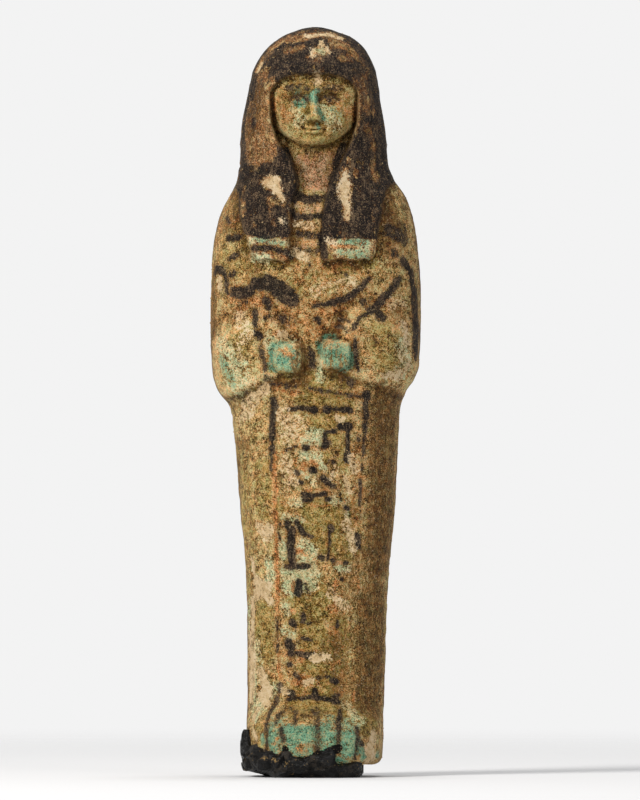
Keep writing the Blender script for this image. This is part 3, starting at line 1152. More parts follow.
@dataclass
class FigurePiece:
    """The faience figure with its fine carving, its worn surface and its paint."""

    form: FigureForm = field(default_factory=FigureForm)
    back_columns: int = 50
    edge_columns: int = 3
    lappet_columns: int = 25
    skin_columns: int = 88
    dome_rows: int = 38
    arms_top: float = 58.5
    arms_foot: float = 49.5
    toes_top: float = 9.0
    least_reach: float = 6.0
    calm_middle: Point3 = (0.0, -11.0, 118.0)
    calm_reach: Point3 = (8.5, 8.0, 9.5)
    lump: float = 0.13
    dimple: float = 0.12
    pit: float = 0.16
    grain: float = 0.035
    stroke_depth: float = 0.10
    flake_depth: float = 0.11
    pitch_relief: float = 0.22
    deepest_hollow: float = 0.35
    box_margin: float = 0.00001
    sole_play: float = 0.0002

    def row_stations(self) -> Array:
        """Spaces the rows of points.

        Returns:
            Their stations, from just under the crown to just short of the sole's middle.
        """
        form = self.form
        edge = form.edge_width
        spans = (
            (form.brow_line + edge, form.brow_line - edge, 4),
            (form.brow_line - edge, form.chin, 58),
            (form.chin, form.wig_hem, 28),
            (form.wig_hem, form.lappet_end + edge, 28),
            (form.lappet_end + edge, form.lappet_end - edge, 4),
            (form.lappet_end - edge, self.arms_top, 30),
            (self.arms_top, self.arms_foot, 32),
            (self.arms_foot, self.toes_top, 126),
            (self.toes_top, 0.0, 34),
        )
        heights = np.concatenate([np.linspace(*span, endpoint=False) for span in spans])
        dome = np.linspace(0.0, form.station_at(form.brow_line + edge), self.dome_rows + 1)[1:-1]
        sole = SOLE_EDGE + np.array([0.0, 0.25, 0.6, 1.0, 1.5])
        return np.concatenate([dome, form.station_at(heights), sole])

    def column_angles(self, height: float, left: float, right: float, square: float) -> Array:
        """Spaces the points of one row, whose columns follow the edges of the wig and its lappets.

        Args:
            height: the row's height above the sole.
            left: how far the outline reaches to the left there.
            right: how far it reaches to the right.
            square: its squareness.

        Returns:
            The angle of each point from the front, from the back over the left.
        """
        form = self.form
        edges = (
            (OUTER_EDGE_LEFT, -form.outer_share, 0.0, left),
            (INNER_EDGE_LEFT, -form.inner_share, 0.0, left),
            (INNER_EDGE_RIGHT, 0.0, form.inner_share, right),
            (OUTER_EDGE_RIGHT, 0.0, form.outer_share, right),
        )
        edge = self.edge_columns
        counts = (self.back_columns, edge, self.lappet_columns, edge, self.skin_columns)
        counts = (*counts, *counts[-2::-1])
        turns = [-math.pi]
        for stops, least, most, reach in edges:
            share = float(np.clip(through(stops, height) / reach, least, most))
            half_edge = form.edge_width / 2.0 / max(reach, self.least_reach)
            for spot in (share - half_edge, share + half_edge):
                turns.append(float(np.sign(spot) * np.arcsin(abs(spot) ** (square / 2.0))))
        turns.append(math.pi)
        return np.interp(np.arange(sum(counts)), np.concatenate([[0], np.cumsum(counts)]), turns)

    def grid(self) -> tuple[Array, Array]:
        """Works out the rows of points.

        Returns:
            The plain outline and the carved surface, in millimetres, row by row.
        """
        form = self.form
        stations = self.row_stations()
        rows = np.array(form.level_at(stations)).T
        angles = np.array(
            [self.column_angles(up, left, right, square) for up, left, right, _, _, square in rows]
        )
        height = np.broadcast_to(rows[:, :1], angles.shape)
        across, _ = form.section(angles, *rows.T[1:, :, None])
        near_brow = ease((height - 84.0) / 6.0) * ease((99.0 - height) / 4.0) * (np.cos(angles) > 0.0)
        drop = form.brow_arch * np.minimum((across - form.face_axis) ** 2, 36.0) * near_brow
        arched = np.where(drop > 0.0, form.station_at(height - drop), stations[:, None])
        height, left, right, front, back, square = form.level_at(arched)
        across, deep = form.section(angles, left, right, front, back, square)
        carved = form.carve(across, deep, height, (left + right) / 2.0)
        lift = np.array([0.0, 0.0, SOLE / MM])
        plain = np.stack([across, deep, height], axis=-1) * PART / MM + lift
        cut = np.stack([across, carved, height], axis=-1) * PART / MM + lift
        return plain, cut

    def roughen(self, points: Array, normals: Array, layers: dict[Layer, Array]) -> Array:
        """Moves each point in or out as age and the mould left it.

        Args:
            points: the carved surface, in millimetres.
            normals: the directions out of it.
            layers: the paint plan at each point.

        Returns:
            The worn surface, in millimetres.
        """
        face = np.linalg.norm((points - np.array(self.calm_middle)) / np.array(self.calm_reach), axis=1)
        calm = 0.35 + 0.65 * ease((face - 0.8) / 0.5)
        rise = self.lump * noise(points, 7.0, 3, 2) * calm
        rise += self.dimple * noise(points, 1.9, 5, 2) * calm
        rise -= self.pit * ease((noise(points, 1.25, 7) - 0.45) / 0.3) * calm
        rise += self.grain * noise(points, 0.7, 8)
        rise -= self.flake_depth * ease(layers[Layer.FLAKE] / 0.5 + 0.5)
        rise -= self.stroke_depth * ease(layers[Layer.TEXT] / 0.5 + 0.5)
        rise += self.pitch_relief * ease(layers[Layer.PITCH] / 0.6 + 0.6)
        return points + normals * rise[:, None]

    def hollows(self, plain: Array, cut: Array) -> Array:
        """Measures how deep the carving lies against what is round it, where dirt gathers.

        Args:
            plain: the plain outline, in millimetres, row by row.
            cut: the carved surface.

        Returns:
            Millimetres of depth for each point of the mesh, negative on ridges.
        """
        change = (plain - cut)[..., 1] * np.where(plain[..., 1] < 0.0, -1.0, 1.0)
        rows = np.arange(len(change))
        deep = np.zeros_like(change)
        for reach in (2, 5):
            beyond = [change[np.clip(rows + step, 0, rows[-1])] for step in (reach, -reach)]
            beyond += [np.roll(change, step, axis=1) for step in (reach, -reach)]
            deep += change - sum(beyond) / 4.0
        return np.clip(np.append(deep.ravel(), [0.0, 0.0]), -self.deepest_hollow, self.deepest_hollow)

    def build(self) -> bpy.types.Object:
        """Makes the figure.

        Returns:
            The figure's piece, with one attribute for each layer.
        """
        plain, cut = self.grid()
        poles = [[0.0, 0.0, (SOLE + FIGURE_HEIGHT) / MM], [0.0, 0.0, SOLE / MM]]
        plain_points, points = (np.concatenate([grid.reshape(-1, 3), poles]) for grid in (plain, cut))
        layers = PaintPlan(self.form).layers(plain_points)
        layers[Layer.HOLLOW] = self.hollows(plain, cut)
        worn = self.roughen(points, directions_out(points, len(cut)), layers) * MM
        low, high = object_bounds()
        worn = np.clip(worn, np.array(low) + self.box_margin, np.array(high) - self.box_margin)
        worn[:, 2] = np.maximum(worn[:, 2], SOLE - self.sole_play)
        mesh = sphere_mesh("faience_figure", worn, len(cut))
        for layer, values in layers.items():
            add_layer(mesh, layer, values)
        return place(mesh)


@dataclass
class ResinPiece:
    """The broken resin under the foot, with its fractured sides."""

    form: FigureForm = field(default_factory=FigureForm)
    columns: int = 420
    steps: tuple[int, ...] = (3, 4, 5, 4, 9, 11, 9, 5, 4)
    chips: int = 420
    seed: int = 6
    chip_box: tuple[Point2, ...] = ((-15.0, 13.0), (-18.0, 12.0), (-1.0, 10.0))
    chip_tilt: float = 0.5
    chip_depth: float = 0.42
    crack_depth: float = 0.08
    inset: float = 0.00015
    lip_width: float = 0.0001
    crust_middle: Point2 = (-7.5, 3.2)

    def foot_outline(self, angle: Array, above_sole: Array) -> Array:
        """Reads the foot's plan off the figure's outline.

        Args:
            angle: directions, counted from the front.
            above_sole: heights above the sole, in metres.

        Returns:
            Places across and from front to back, in metres.
        """
        _, *measures = self.form.level_at(self.form.station_at(above_sole / PART))
        return np.stack(self.form.section(angle, *measures), axis=-1) * PART

    @staticmethod
    def outward(outline: Array) -> Array:
        """Works out the direction out of a closed plan outline at each of its points.

        Args:
            outline: the outline's points.

        Returns:
            One direction for each point.
        """
        ahead = np.roll(outline, -1, axis=0) - np.roll(outline, 1, axis=0)
        normal = np.stack([ahead[:, 1], -ahead[:, 0]], axis=-1)
        return normal / np.linalg.norm(normal, axis=1, keepdims=True)

    @staticmethod
    def measure(index: int, degrees: Array) -> Array:
        """Reads one measure of the torn edge, which closes on itself round the foot.

        Args:
            index: which measure of RESIN_EDGE.
            degrees: directions, counted from the front.

        Returns:
            The measure in each direction, in metres.
        """
        stops = [(stop[0], stop[index]) for stop in RESIN_EDGE]
        before, after = stops[-1], stops[0]
        return through([(before[0] - 360.0, before[1]), *stops, (after[0] + 360.0, after[1])], degrees)

    def main_rings(self) -> Array:
        """Lays out the rings that the resin's form follows.

        Returns:
            Its bed, its inner wall, its rim, its side and its underside, in metres.
        """
        turns = np.linspace(-math.pi, math.pi, 20001)
        outline = self.foot_outline(turns, np.zeros_like(turns))
        along = np.concatenate([[0.0], np.cumsum(np.linalg.norm(np.diff(outline, axis=0), axis=1))])
        angles = np.interp(np.linspace(0.0, along[-1], self.columns, endpoint=False), along, turns)
        reach, setback = (self.measure(index, np.degrees(angles)) for index in (1, 2))
        level = np.zeros_like(angles)
        sole = self.foot_outline(angles, level)
        out = self.outward(sole)
        climb = np.interp(np.degrees(angles), *np.array(RESIN_CLIMB).T) * MM
        climb = climb * (1.0 + 0.10 * noise(sole @ np.eye(2, 3) / MM, 0.9, 61, 2))
        inner = np.minimum(-self.inset, reach - RESIN_RIM)
        lip = np.where(reach < RESIN_CLEARANCE, 0.0, climb)
        rim_foot = np.where(lip > 0.0, SOLE, RESIN_BED)

        def ring(above_sole: Array, offset: Array, height: Array) -> Array:
            """One ring along the foot's plan at a height above the sole, moved out by an offset."""
            plan = self.foot_outline(angles, above_sole) + out * offset[:, None]
            return np.column_stack([plan, height])

        bed = ring(level, inner, level + RESIN_BED)
        side = ring(level, reach, level + 0.6 * RESIN_BED)
        under = ring(level, reach - setback, level)
        return np.array(
            [
                bed * np.array([0.5, 0.5, 1.0]),
                bed,
                ring(lip / 2.0, inner, rim_foot + lip / 2.0),
                ring(lip, inner + self.lip_width, rim_foot + lip),
                ring(lip * 0.97, np.minimum(inner + RESIN_RIM, reach), rim_foot + lip - 0.3 * RESIN_RIM),
                ring(lip / 2.0, reach, rim_foot + lip / 2.0 - 0.4 * RESIN_RIM),
                side,
                (side + under) / 2.0,
                under,
                under * 0.5,
            ]
        )

    def break_faces(self, points: Array, normals: Array) -> Array:
        """Breaks the surface into small curved facets, as resin fractures.

        Args:
            points: the smooth surface, in millimetres.
            normals: the directions out of it.

        Returns:
            The broken surface, in millimetres.
        """
        random = np.random.default_rng(self.seed)
        seeds = np.column_stack([random.uniform(low, high, self.chips) for low, high in self.chip_box])
        tilts = random.normal(0.0, self.chip_tilt, (self.chips, 3))
        nearest = np.full(len(points), np.inf)
        second = np.full(len(points), np.inf)
        rise = np.zeros(len(points))
        for seed, tilt in zip(seeds, tilts, strict=True):
            away = points - seed
            gap = np.linalg.norm(away, axis=1)
            closer = gap < nearest
            second = np.where(closer, nearest, np.minimum(second, gap))
            nearest = np.where(closer, gap, nearest)
            rise = np.where(closer, away @ tilt, rise)
        rise = np.clip(rise, -self.chip_depth, self.chip_depth)
        rise -= self.crack_depth * ease(1.0 - (second - nearest) / 0.5)
        rise += 0.05 * noise(points, 0.9, 71, 2)
        side = np.sqrt(np.clip(1.0 - normals[:, 2] ** 2, 0.0, 1.0))
        return points + normals * (rise * side)[:, None]

    def build(self) -> bpy.types.Object:
        """Makes the resin.

        Returns:
            The resin's piece.
        """
        main = self.main_rings()
        rings = []
        for start, end, count in zip(main[:-1], main[1:], self.steps, strict=True):
            rings += [start + (end - start) * step / count for step in range(count)]
        rings.append(main[-1])
        poles = [[0.0, 0.0, RESIN_BED], [0.0, 0.0, 0.0]]
        points = np.concatenate([*rings, poles])
        broken = self.break_faces(points / MM, directions_out(points, len(rings))) * MM
        mesh = sphere_mesh("resin_mass", np.clip(broken, *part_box("resin_bed")), len(rings))
        x, y, z = points.T / MM
        aside, up = x - self.crust_middle[0], z - self.crust_middle[1]
        add_layer(mesh, Layer.FLAKE, bump(aside / 6.0) * bump((up + 0.12 * aside) / 1.1) * (y < 0.0))
        return place(mesh)


@dataclass
class GrainScatter:
    """Grains of burial crust, half sunk in the surface, scattered by a geometry node tree."""

    count_per_area: float = 95000.0
    smallest: float = 0.00005
    largest: float = 0.00014
    most_turned: Point3 = (6.28, 6.28, 6.28)
    flattest: Point3 = (0.6, 0.6, 0.6)
    longest: Point3 = (1.3, 1.3, 1.1)
    seed: int = 4

    def tree(self) -> bpy.types.GeometryNodeTree:
        """Builds the tree, with a named input for each of its sizes.

        Returns:
            The node tree.
        """
        tree = bpy.data.node_groups.new("burial_grains", "GeometryNodeTree")
        face = tree.interface
        face.new_socket("Geometry", in_out="INPUT", socket_type="NodeSocketGeometry")
        for name in ("Grains per square metre", "Smallest grain", "Largest grain"):
            face.new_socket(name, in_out="INPUT", socket_type="NodeSocketFloat")
        face.new_socket("Seed", in_out="INPUT", socket_type="NodeSocketInt")
        face.new_socket("Crust", in_out="INPUT", socket_type="NodeSocketMaterial")
        face.new_socket("Geometry", in_out="OUTPUT", socket_type="NodeSocketGeometry")
        given, result, scatter, grain, size, turn, stretch, scale, spots, real, coat = (
            tree.nodes.new(kind)
            for kind in (
                "NodeGroupInput", "NodeGroupOutput", "GeometryNodeDistributePointsOnFaces",
                "GeometryNodeMeshUVSphere", *["FunctionNodeRandomValue"] * 3, "ShaderNodeVectorMath",
                "GeometryNodeInstanceOnPoints", "GeometryNodeRealizeInstances", "GeometryNodeSetMaterial",
            )
        )
        for name, value in (("Segments", 6), ("Rings", 4), ("Radius", 1.0)):
            grain.inputs[name].default_value = value
        turn.data_type = stretch.data_type = "FLOAT_VECTOR"
        turn.inputs["Max"].default_value = self.most_turned
        stretch.inputs["Min"].default_value = self.flattest
        stretch.inputs["Max"].default_value = self.longest
        scale.operation = "SCALE"
        for source, given_out, target, taken_in in (
            (given, "Geometry", scatter, "Mesh"),
            (given, "Grains per square metre", scatter, "Density"),
            (given, "Seed", scatter, "Seed"),
            (given, "Smallest grain", size, 2),
            (given, "Largest grain", size, 3),
            (given, "Seed", size, "Seed"),
            (stretch, "Value", scale, 0),
            (size, 1, scale, "Scale"),
            (scatter, "Points", spots, "Points"),
            (grain, "Mesh", spots, "Instance"),
            (turn, "Value", spots, "Rotation"),
            (scale, "Vector", spots, "Scale"),
            (spots, "Instances", real, "Geometry"),
            (real, "Geometry", coat, "Geometry"),
            (given, "Crust", coat, "Material"),
            (coat, "Geometry", result, "Geometry"),
        ):
            tree.links.new(source.outputs[given_out], target.inputs[taken_in])
        return tree

    def build(self, ground: bpy.types.Object, crust: bpy.types.Material) -> bpy.types.Object:
        """Scatters the grains over a piece.

        Args:
            ground: the piece they lie on.
            crust: their material.

        Returns:
            The grains as one plain mesh of their own.
        """
        carrier = bpy.data.objects.new("grain_carrier", ground.data)
        bpy.context.scene.collection.objects.link(carrier)
        modifier = carrier.modifiers.new("grains", "NODES")
        modifier.node_group = self.tree()
        values = {
            "Grains per square metre": self.count_per_area,
            "Smallest grain": self.smallest,
            "Largest grain": self.largest,
            "Seed": self.seed,
            "Crust": crust,
        }
        for item in modifier.node_group.interface.items_tree:
            if item.item_type == "SOCKET" and item.in_out == "INPUT" and item.name in values:
                modifier[item.identifier] = values[item.name]
        depsgraph = bpy.context.evaluated_depsgraph_get()
        mesh = bpy.data.meshes.new_from_object(carrier.evaluated_get(depsgraph))
        mesh.name = "burial_grains"
        bpy.data.objects.remove(carrier)
        mesh.shade_smooth()
        return place(mesh)


class Sheet:
    """A material's node sheet, with short ways to add what the finishes need."""

    def __init__(self, name: str) -> None:
        """Starts a material with one principled shader.

        Args:
            name: the material's name.
        """
        self.material = bpy.data.materials.new(name)
        self.material.use_nodes = True
        self.tree = self.material.node_tree
        self.shader = self.tree.nodes["Principled BSDF"]
        spot = self.tree.nodes.new("ShaderNodeTexCoord")
        self.mm = self.vector("SCALE", spot.outputs["Object"], {"Scale": 1.0 / MM})

    def feed(self, socket: Socket, value: Value | Colour) -> None:
        """Gives an input its value.

        Args:
            socket: the input.
            value: another node's result, a number, or a colour or a vector.
        """
        if isinstance(value, bpy.types.NodeSocket):
            self.tree.links.new(value, socket)
        elif isinstance(value, tuple) and socket.type == "RGBA":
            socket.default_value = (*value, 1.0)
        else:
            socket.default_value = value

    def add(self, kind: str, inputs: Inputs, output: str | int = 0, **settings: str) -> Socket:
        """Adds a node.

        Args:
            kind: Blender's name for it.
            inputs: what its inputs get, by name or number.
            output: which of its results is wanted.
            settings: its other settings.

        Returns:
            The result.
        """
        node = self.tree.nodes.new(kind)
        for name, setting in settings.items():
            setattr(node, name, setting)
        for name, value in inputs.items():
            self.feed(node.inputs[name], value)
        return node.outputs[output]

    def vector(self, operation: str, first: Socket, others: Inputs) -> Socket:
        """Adds one step of vector arithmetic."""
        return self.add("ShaderNodeVectorMath", {0: first, **others}, operation=operation)

    def math(self, operation: str, *values: Value) -> Socket:
        """Adds one step of arithmetic."""
        return self.add("ShaderNodeMath", dict(enumerate(values)), operation=operation)

    def layer(self, layer: Layer) -> Socket:
        """Reads a layer stored on the mesh."""
        return self.add("ShaderNodeAttribute", {}, "Fac", attribute_name=layer.value)

    def noise(
        self, grain: float, detail: float, rough: float, stretch: Point3 = EVEN, shift: float = 0.0
    ) -> Socket:
        """Adds a noise.

        Args:
            grain: the size of its largest lumps, in millimetres.
            detail: how many finer layers it has.
            rough: how strong each finer layer is against the one before.
            stretch: how many times finer it is along each axis.
            shift: how far it is moved, so that no two noises look alike.

        Returns:
            The noise, mostly from -1 to 1.
        """
        spot = self.vector("MULTIPLY", self.mm, {1: stretch})
        if shift:
            spot = self.vector("ADD", spot, {1: (shift, shift * 0.7, shift * 0.4)})
        inputs = {"Scale": 1.0 / grain, "Detail": detail, "Roughness": rough, "Vector": spot}
        plain = self.add("ShaderNodeTexNoise", inputs)
        return self.math("MULTIPLY_ADD", plain, NOISE_GAIN, -NOISE_GAIN / 2.0)

    def total(self, *terms: Term, base: float = 0.0) -> Socket:
        """Adds values up.

        Args:
            terms: a weight and a value or a layer each.
            base: what to start from.

        Returns:
            The base and the weighted sum.
        """
        result: Value = base
        for weight, value in terms:
            source = self.layer(value) if isinstance(value, Layer) else value
            result = self.math("MULTIPLY_ADD", source, weight, result)
        return result

    def step(self, value: Socket, low: float, high: float) -> Socket:
        """Adds a soft step, from 0 at low to 1 at high."""
        inputs = {"Value": value, "From Min": low, "From Max": high}
        return self.add("ShaderNodeMapRange", inputs, interpolation_type="SMOOTHSTEP")

    def mask(self, *terms: Term, base: float = 0.0, low: float, high: float) -> Socket:
        """A soft step over a weighted sum, as a coat's ragged edge needs."""
        return self.step(self.total(*terms, base=base), low, high)

    def ramp(self, value: Socket, tones: Tones) -> Socket:
        """Reads a colour off a row of tones.

        Args:
            value: where to read, from 0, the darkest, to 1, the lightest.
            tones: the row.

        Returns:
            The colour.
        """
        colour = self.add("ShaderNodeValToRGB", {"Fac": value})
        stops = colour.node.color_ramp.elements
        while len(stops) < len(tones):
            stops.new(0.5)
        for stop, (spot, tone) in zip(stops, tones, strict=True):
            stop.position = spot
            stop.color = (*linear(*tone), 1.0)
        return colour

    def mix(self, share: Value, first: Tint, second: Tint, blend: str = "MIX") -> Socket:
        """Lays the second colour over the first by a share from 0 to 1."""
        inputs = {0: share, 6: first, 7: second}
        return self.add("ShaderNodeMix", inputs, 2, data_type="RGBA", blend_type=blend)

    def coat(self, under: Socket, mask: Socket, strength: float, over: Tint) -> Socket:
        """Lays one colour over another where a mask says, at part of its strength."""
        return self.mix(self.math("MULTIPLY", mask, strength), under, over)

    def finish(
        self, colour: Socket, roughness: Socket, height: Socket, depth: float, gloss: float
    ) -> bpy.types.Material:
        """Joins colour, roughness and a fine relief to the shader.

        Args:
            colour: the surface's colour.
            roughness: its roughness.
            height: its fine relief, mostly from -1 to 1.
            depth: how deep a relief of 1 is, in metres.
            gloss: the shader's specular level.

        Returns:
            The finished material.
        """
        relief = self.tree.nodes.new("ShaderNodeBump")
        for node, name, value in (
            (relief, "Distance", depth),
            (relief, "Strength", 1.0),
            (relief, "Height", height),
            (self.shader, "Specular IOR Level", gloss),
            (self.shader, "Normal", relief.outputs["Normal"]),
            (self.shader, "Base Color", colour),
            (self.shader, "Roughness", roughness),
        ):
            self.feed(node.inputs[name], value)
        return self.material


@dataclass(frozen=True)
class FaienceFinish:
    """The worn glaze, its paint and stains, and the pale body under them.

    Each row of tones goes from the dirtiest to the cleanest, in the 8-bit scale.
    """

    bare: Tones = (
        (0.0, (46, 32, 16)), (0.2, (106, 77, 38)), (0.38, (152, 117, 66)), (0.56, (182, 146, 90)),
        (0.8, (210, 180, 130)), (1.0, (228, 208, 166)),
    )
    yellow: Tones = (
        (0.0, (52, 40, 18)), (0.2, (112, 86, 42)), (0.38, (158, 130, 74)), (0.6, (188, 160, 102)),
        (0.82, (206, 186, 132)), (1.0, (224, 212, 166)),
    )
    olive: Tones = (
        (0.0, (46, 34, 12)), (0.22, (90, 70, 26)), (0.48, (132, 108, 48)), (0.72, (164, 140, 74)),
        (1.0, (204, 188, 130)),
    )
    rust: Tones = (
        (0.0, (40, 26, 16)), (0.22, (90, 56, 26)), (0.42, (148, 94, 44)), (0.6, (186, 124, 66)),
        (0.8, (208, 164, 110)), (1.0, (224, 194, 148)),
    )
    umber: Tones = (
        (0.0, (38, 24, 8)), (0.15, (64, 42, 14)), (0.4, (91, 63, 28)), (0.62, (110, 81, 41)),
        (0.9, (146, 115, 68)), (1.0, (180, 147, 97)),
    )
    wig: Tones = (
        (0.0, (40, 29, 20)), (0.25, (82, 58, 37)), (0.5, (128, 90, 56)), (0.72, (166, 119, 74)),
        (0.86, (196, 152, 102)), (1.0, (214, 182, 140)),
    )
    pale_glaze: Tones = (
        (0.0, (90, 82, 50)), (0.25, (148, 144, 98)), (0.5, (184, 186, 146)), (0.75, (202, 208, 174)),
        (0.9, (214, 218, 190)), (1.0, (230, 224, 190)),
    )
    turquoise: Tones = (
        (0.0, (44, 66, 46)), (0.28, (74, 116, 92)), (0.55, (98, 158, 138)), (0.8, (124, 182, 162)),
        (1.0, (180, 196, 160)),
    )
    flake: Tones = (
        (0.0, (120, 92, 58)), (0.22, (188, 154, 108)), (0.6, (218, 188, 142)), (1.0, (234, 214, 178)),
    )
    rose: Tones = (
        (0.0, (80, 58, 42)), (0.4, (142, 106, 80)), (0.7, (178, 140, 114)), (1.0, (208, 172, 142)),
    )
    salmon: Tones = (
        (0.0, (72, 42, 20)), (0.3, (141, 84, 41)), (0.6, (190, 126, 72)), (1.0, (220, 174, 124)),
    )
    ink: Tones = (
        (0.0, (12, 12, 13)), (0.5, (24, 23, 24)), (0.72, (39, 37, 36)), (0.9, (68, 60, 52)),
        (1.0, (118, 96, 72)),
    )
    pitch: Colour = linear(20, 17, 15)
    dirt: Colour = linear(50, 36, 20)
    scorch: Colour = linear(112, 68, 34)
    lime: Colour = linear(214, 186, 142)
    seep: Colour = (0.50, 0.34, 0.20)
    cool: Colour = (0.98, 1.11, 1.01)
    warm: Colour = (1.36, 1.07, 0.87)
    relief: float = 0.00009
    gloss: float = 0.1

    def material(self) -> bpy.types.Material:
        """Builds the material, coat by coat from the bare body to the lime on top.

        Returns:
            The material.
        """
        s = Sheet("worn_faience")
        patchy = s.noise(2.2, 6.0, 0.74, shift=9.0)
        middle = s.noise(0.8, 5.0, 0.78, shift=3.0)
        blotch = s.noise(1.5, 4.0, 0.72, shift=21.0)
        fine = s.noise(0.30, 3.0, 0.85, shift=5.0)
        grit = s.noise(0.17, 1.0, 0.8, shift=7.0)
        streak = s.noise(0.62, 5.0, 0.74, stretch=(1.0, 1.0, 0.15))
        broad_warmth, fine_warmth = s.noise(1.3, 4.0, 0.8, shift=31.0), s.noise(0.34, 2.0, 0.8, shift=37.0)
        warmth = s.mask((0.6, broad_warmth), (0.5, fine_warmth), low=-0.9, high=0.9)
        vein = s.step(s.math("ABSOLUTE", s.noise(1.2, 4.0, 0.72, shift=51.0)), 0.04, 0.34)
        crumbs = s.noise(0.36, 2.0, 0.8, shift=41.0)
        hollow = s.layer(Layer.HOLLOW)
        tone = s.total((0.21, patchy), (0.21, middle), (0.20, fine), (0.23, grit), (-1.1, hollow), base=0.513)
        calm = s.total((0.13, patchy), (0.15, middle), (0.19, fine), (0.20, grit), (-0.75, hollow), base=0.54)
        chalky = s.total((0.14, patchy), (0.1, middle), (0.1, fine), (0.06, grit), (-0.8, hollow), base=0.62)
        brushed = s.total((0.20, streak), (0.19, blotch), (0.24, fine), (0.22, grit), base=0.51)
        ragged = s.total((0.10, blotch), (0.12, middle), (0.13, fine))

        # The bare body, the wig's brown ground and the glazes.
        yellow = s.mask((3.2, Layer.YELLOW), (0.7, blotch), (0.5, middle), base=-1.6, low=-0.5, high=0.5)
        colour = s.mix(yellow, s.ramp(tone, self.bare), s.ramp(tone, self.yellow))
        olive = s.mask((4.2, Layer.OLIVE), (1.0, patchy), (0.5, fine), base=-2.0, low=-0.25, high=0.25)
        colour = s.coat(colour, olive, 0.92, s.ramp(tone, self.olive))
        ground = s.math("MULTIPLY", s.layer(Layer.WIG), s.mask((0.9, blotch), base=0.9, low=-0.3, high=0.3))
        colour = s.mix(ground, colour, s.ramp(brushed, self.wig))
        pale = s.mask((1.0, Layer.PALE_GLAZE), (0.3, middle), (0.2, fine), base=0.02, low=-0.12, high=0.12)
        colour = s.coat(colour, pale, 0.95, s.ramp(calm, self.pale_glaze))
        bright = s.mask((1.0, Layer.TURQUOISE), (0.22, middle), (0.2, fine), base=0.05, low=-0.1, high=0.1)
        colour = s.mix(bright, colour, s.ramp(calm, self.turquoise))
        rosy = s.mask((1.0, Layer.ROSE), (0.4, middle), (0.3, fine), low=-0.3, high=0.3)
        colour = s.coat(colour, rosy, 0.92, s.ramp(calm, self.rose))

        # Rust, umber, the lines whose ink is lost, dirt in the hollows and brown veins.
        rust = s.mask((3.6, Layer.RUST), (0.9, blotch), (0.7, fine), base=-2.4, low=-0.25, high=0.3)
        colour = s.coat(colour, rust, 0.9, s.ramp(s.math("ADD", tone, 0.1), self.rust))
        umber = s.mask((4.2, Layer.UMBER), (0.8, streak), (0.6, middle), base=-2.3, low=-0.3, high=0.3)
        colour = s.coat(colour, umber, 0.92, s.ramp(brushed, self.umber))
        lost = s.mask((1.0, Layer.LOST_LINE), (1.0, ragged), base=-0.12, low=-0.1, high=0.1)
        colour = s.coat(colour, lost, 0.85, s.ramp(tone, self.salmon))
        stains = ((1.1, Layer.UMBER), (1.2, Layer.RUST), (0.5, Layer.OLIVE), (1.8, hollow))
        grains = ((-3.0, rosy), (-1.0, pale), (0.6, patchy), (0.6, fine), (0.7, grit))
        specks = s.mask(*stains, *grains, base=-2.5, low=-0.2, high=0.3)
        colour = s.coat(colour, specks, 0.85, self.dirt)
        soaked = s.mask((1.0, patchy), (0.5, blotch), (-2.4, rosy), (-1.0, pale), low=-1.0, high=0.8)
        soaked = s.math("MULTIPLY", s.math("SUBTRACT", 0.62, s.math("MULTIPLY", vein, 0.62)), soaked)
        colour = s.mix(soaked, colour, s.mix(1.0, colour, self.seep, blend="MULTIPLY"))
        colour = s.mix(1.0, colour, s.mix(warmth, self.cool, self.warm), blend="MULTIPLY")

        # The ink with its rusty edge, the flakes, the resin smears and the lime.
        ink, text = s.layer(Layer.INK), s.layer(Layer.TEXT)
        halo = s.mask((1.0, s.math("MAXIMUM", ink, text)), (0.3, middle), (0.3, fine), low=-0.6, high=0.1)
        colour = s.coat(colour, halo, 0.35, self.scorch)
        inked = s.mask((1.0, ink), (0.9, ragged), (0.1, streak), base=0.05, low=-0.05, high=0.05)
        written = s.mask((1.0, text), (0.7, ragged), base=0.05, low=-0.05, high=0.05)
        inked = s.math("MAXIMUM", inked, written)
        colour = s.coat(colour, inked, 0.96, s.ramp(brushed, self.ink))
        flaked = s.mask((1.0, Layer.FLAKE), (0.18, middle), (0.16, fine), low=-0.08, high=0.08)
        colour = s.coat(colour, flaked, 0.96, s.ramp(chalky, self.flake))
        pitchy = s.mask((1.0, Layer.PITCH), (0.6, ragged), low=-0.05, high=0.05)
        colour = s.mix(pitchy, colour, self.pitch)
        limy = s.mask((0.9, crumbs), (0.5, middle), (-0.5, inked), base=-1.6, low=-0.1, high=0.4)
        colour = s.coat(colour, limy, 0.6, self.lime)

        rough = s.total((0.16, tone), (-0.2, bright), (-0.22, pitchy), base=0.5)
        coats = ((-0.5, specks), (-0.5, flaked), (0.8, pitchy))
        height = s.total((0.5, fine), (0.35, grit), (0.5, middle), *coats)
        return s.finish(colour, rough, height, self.relief, self.gloss)


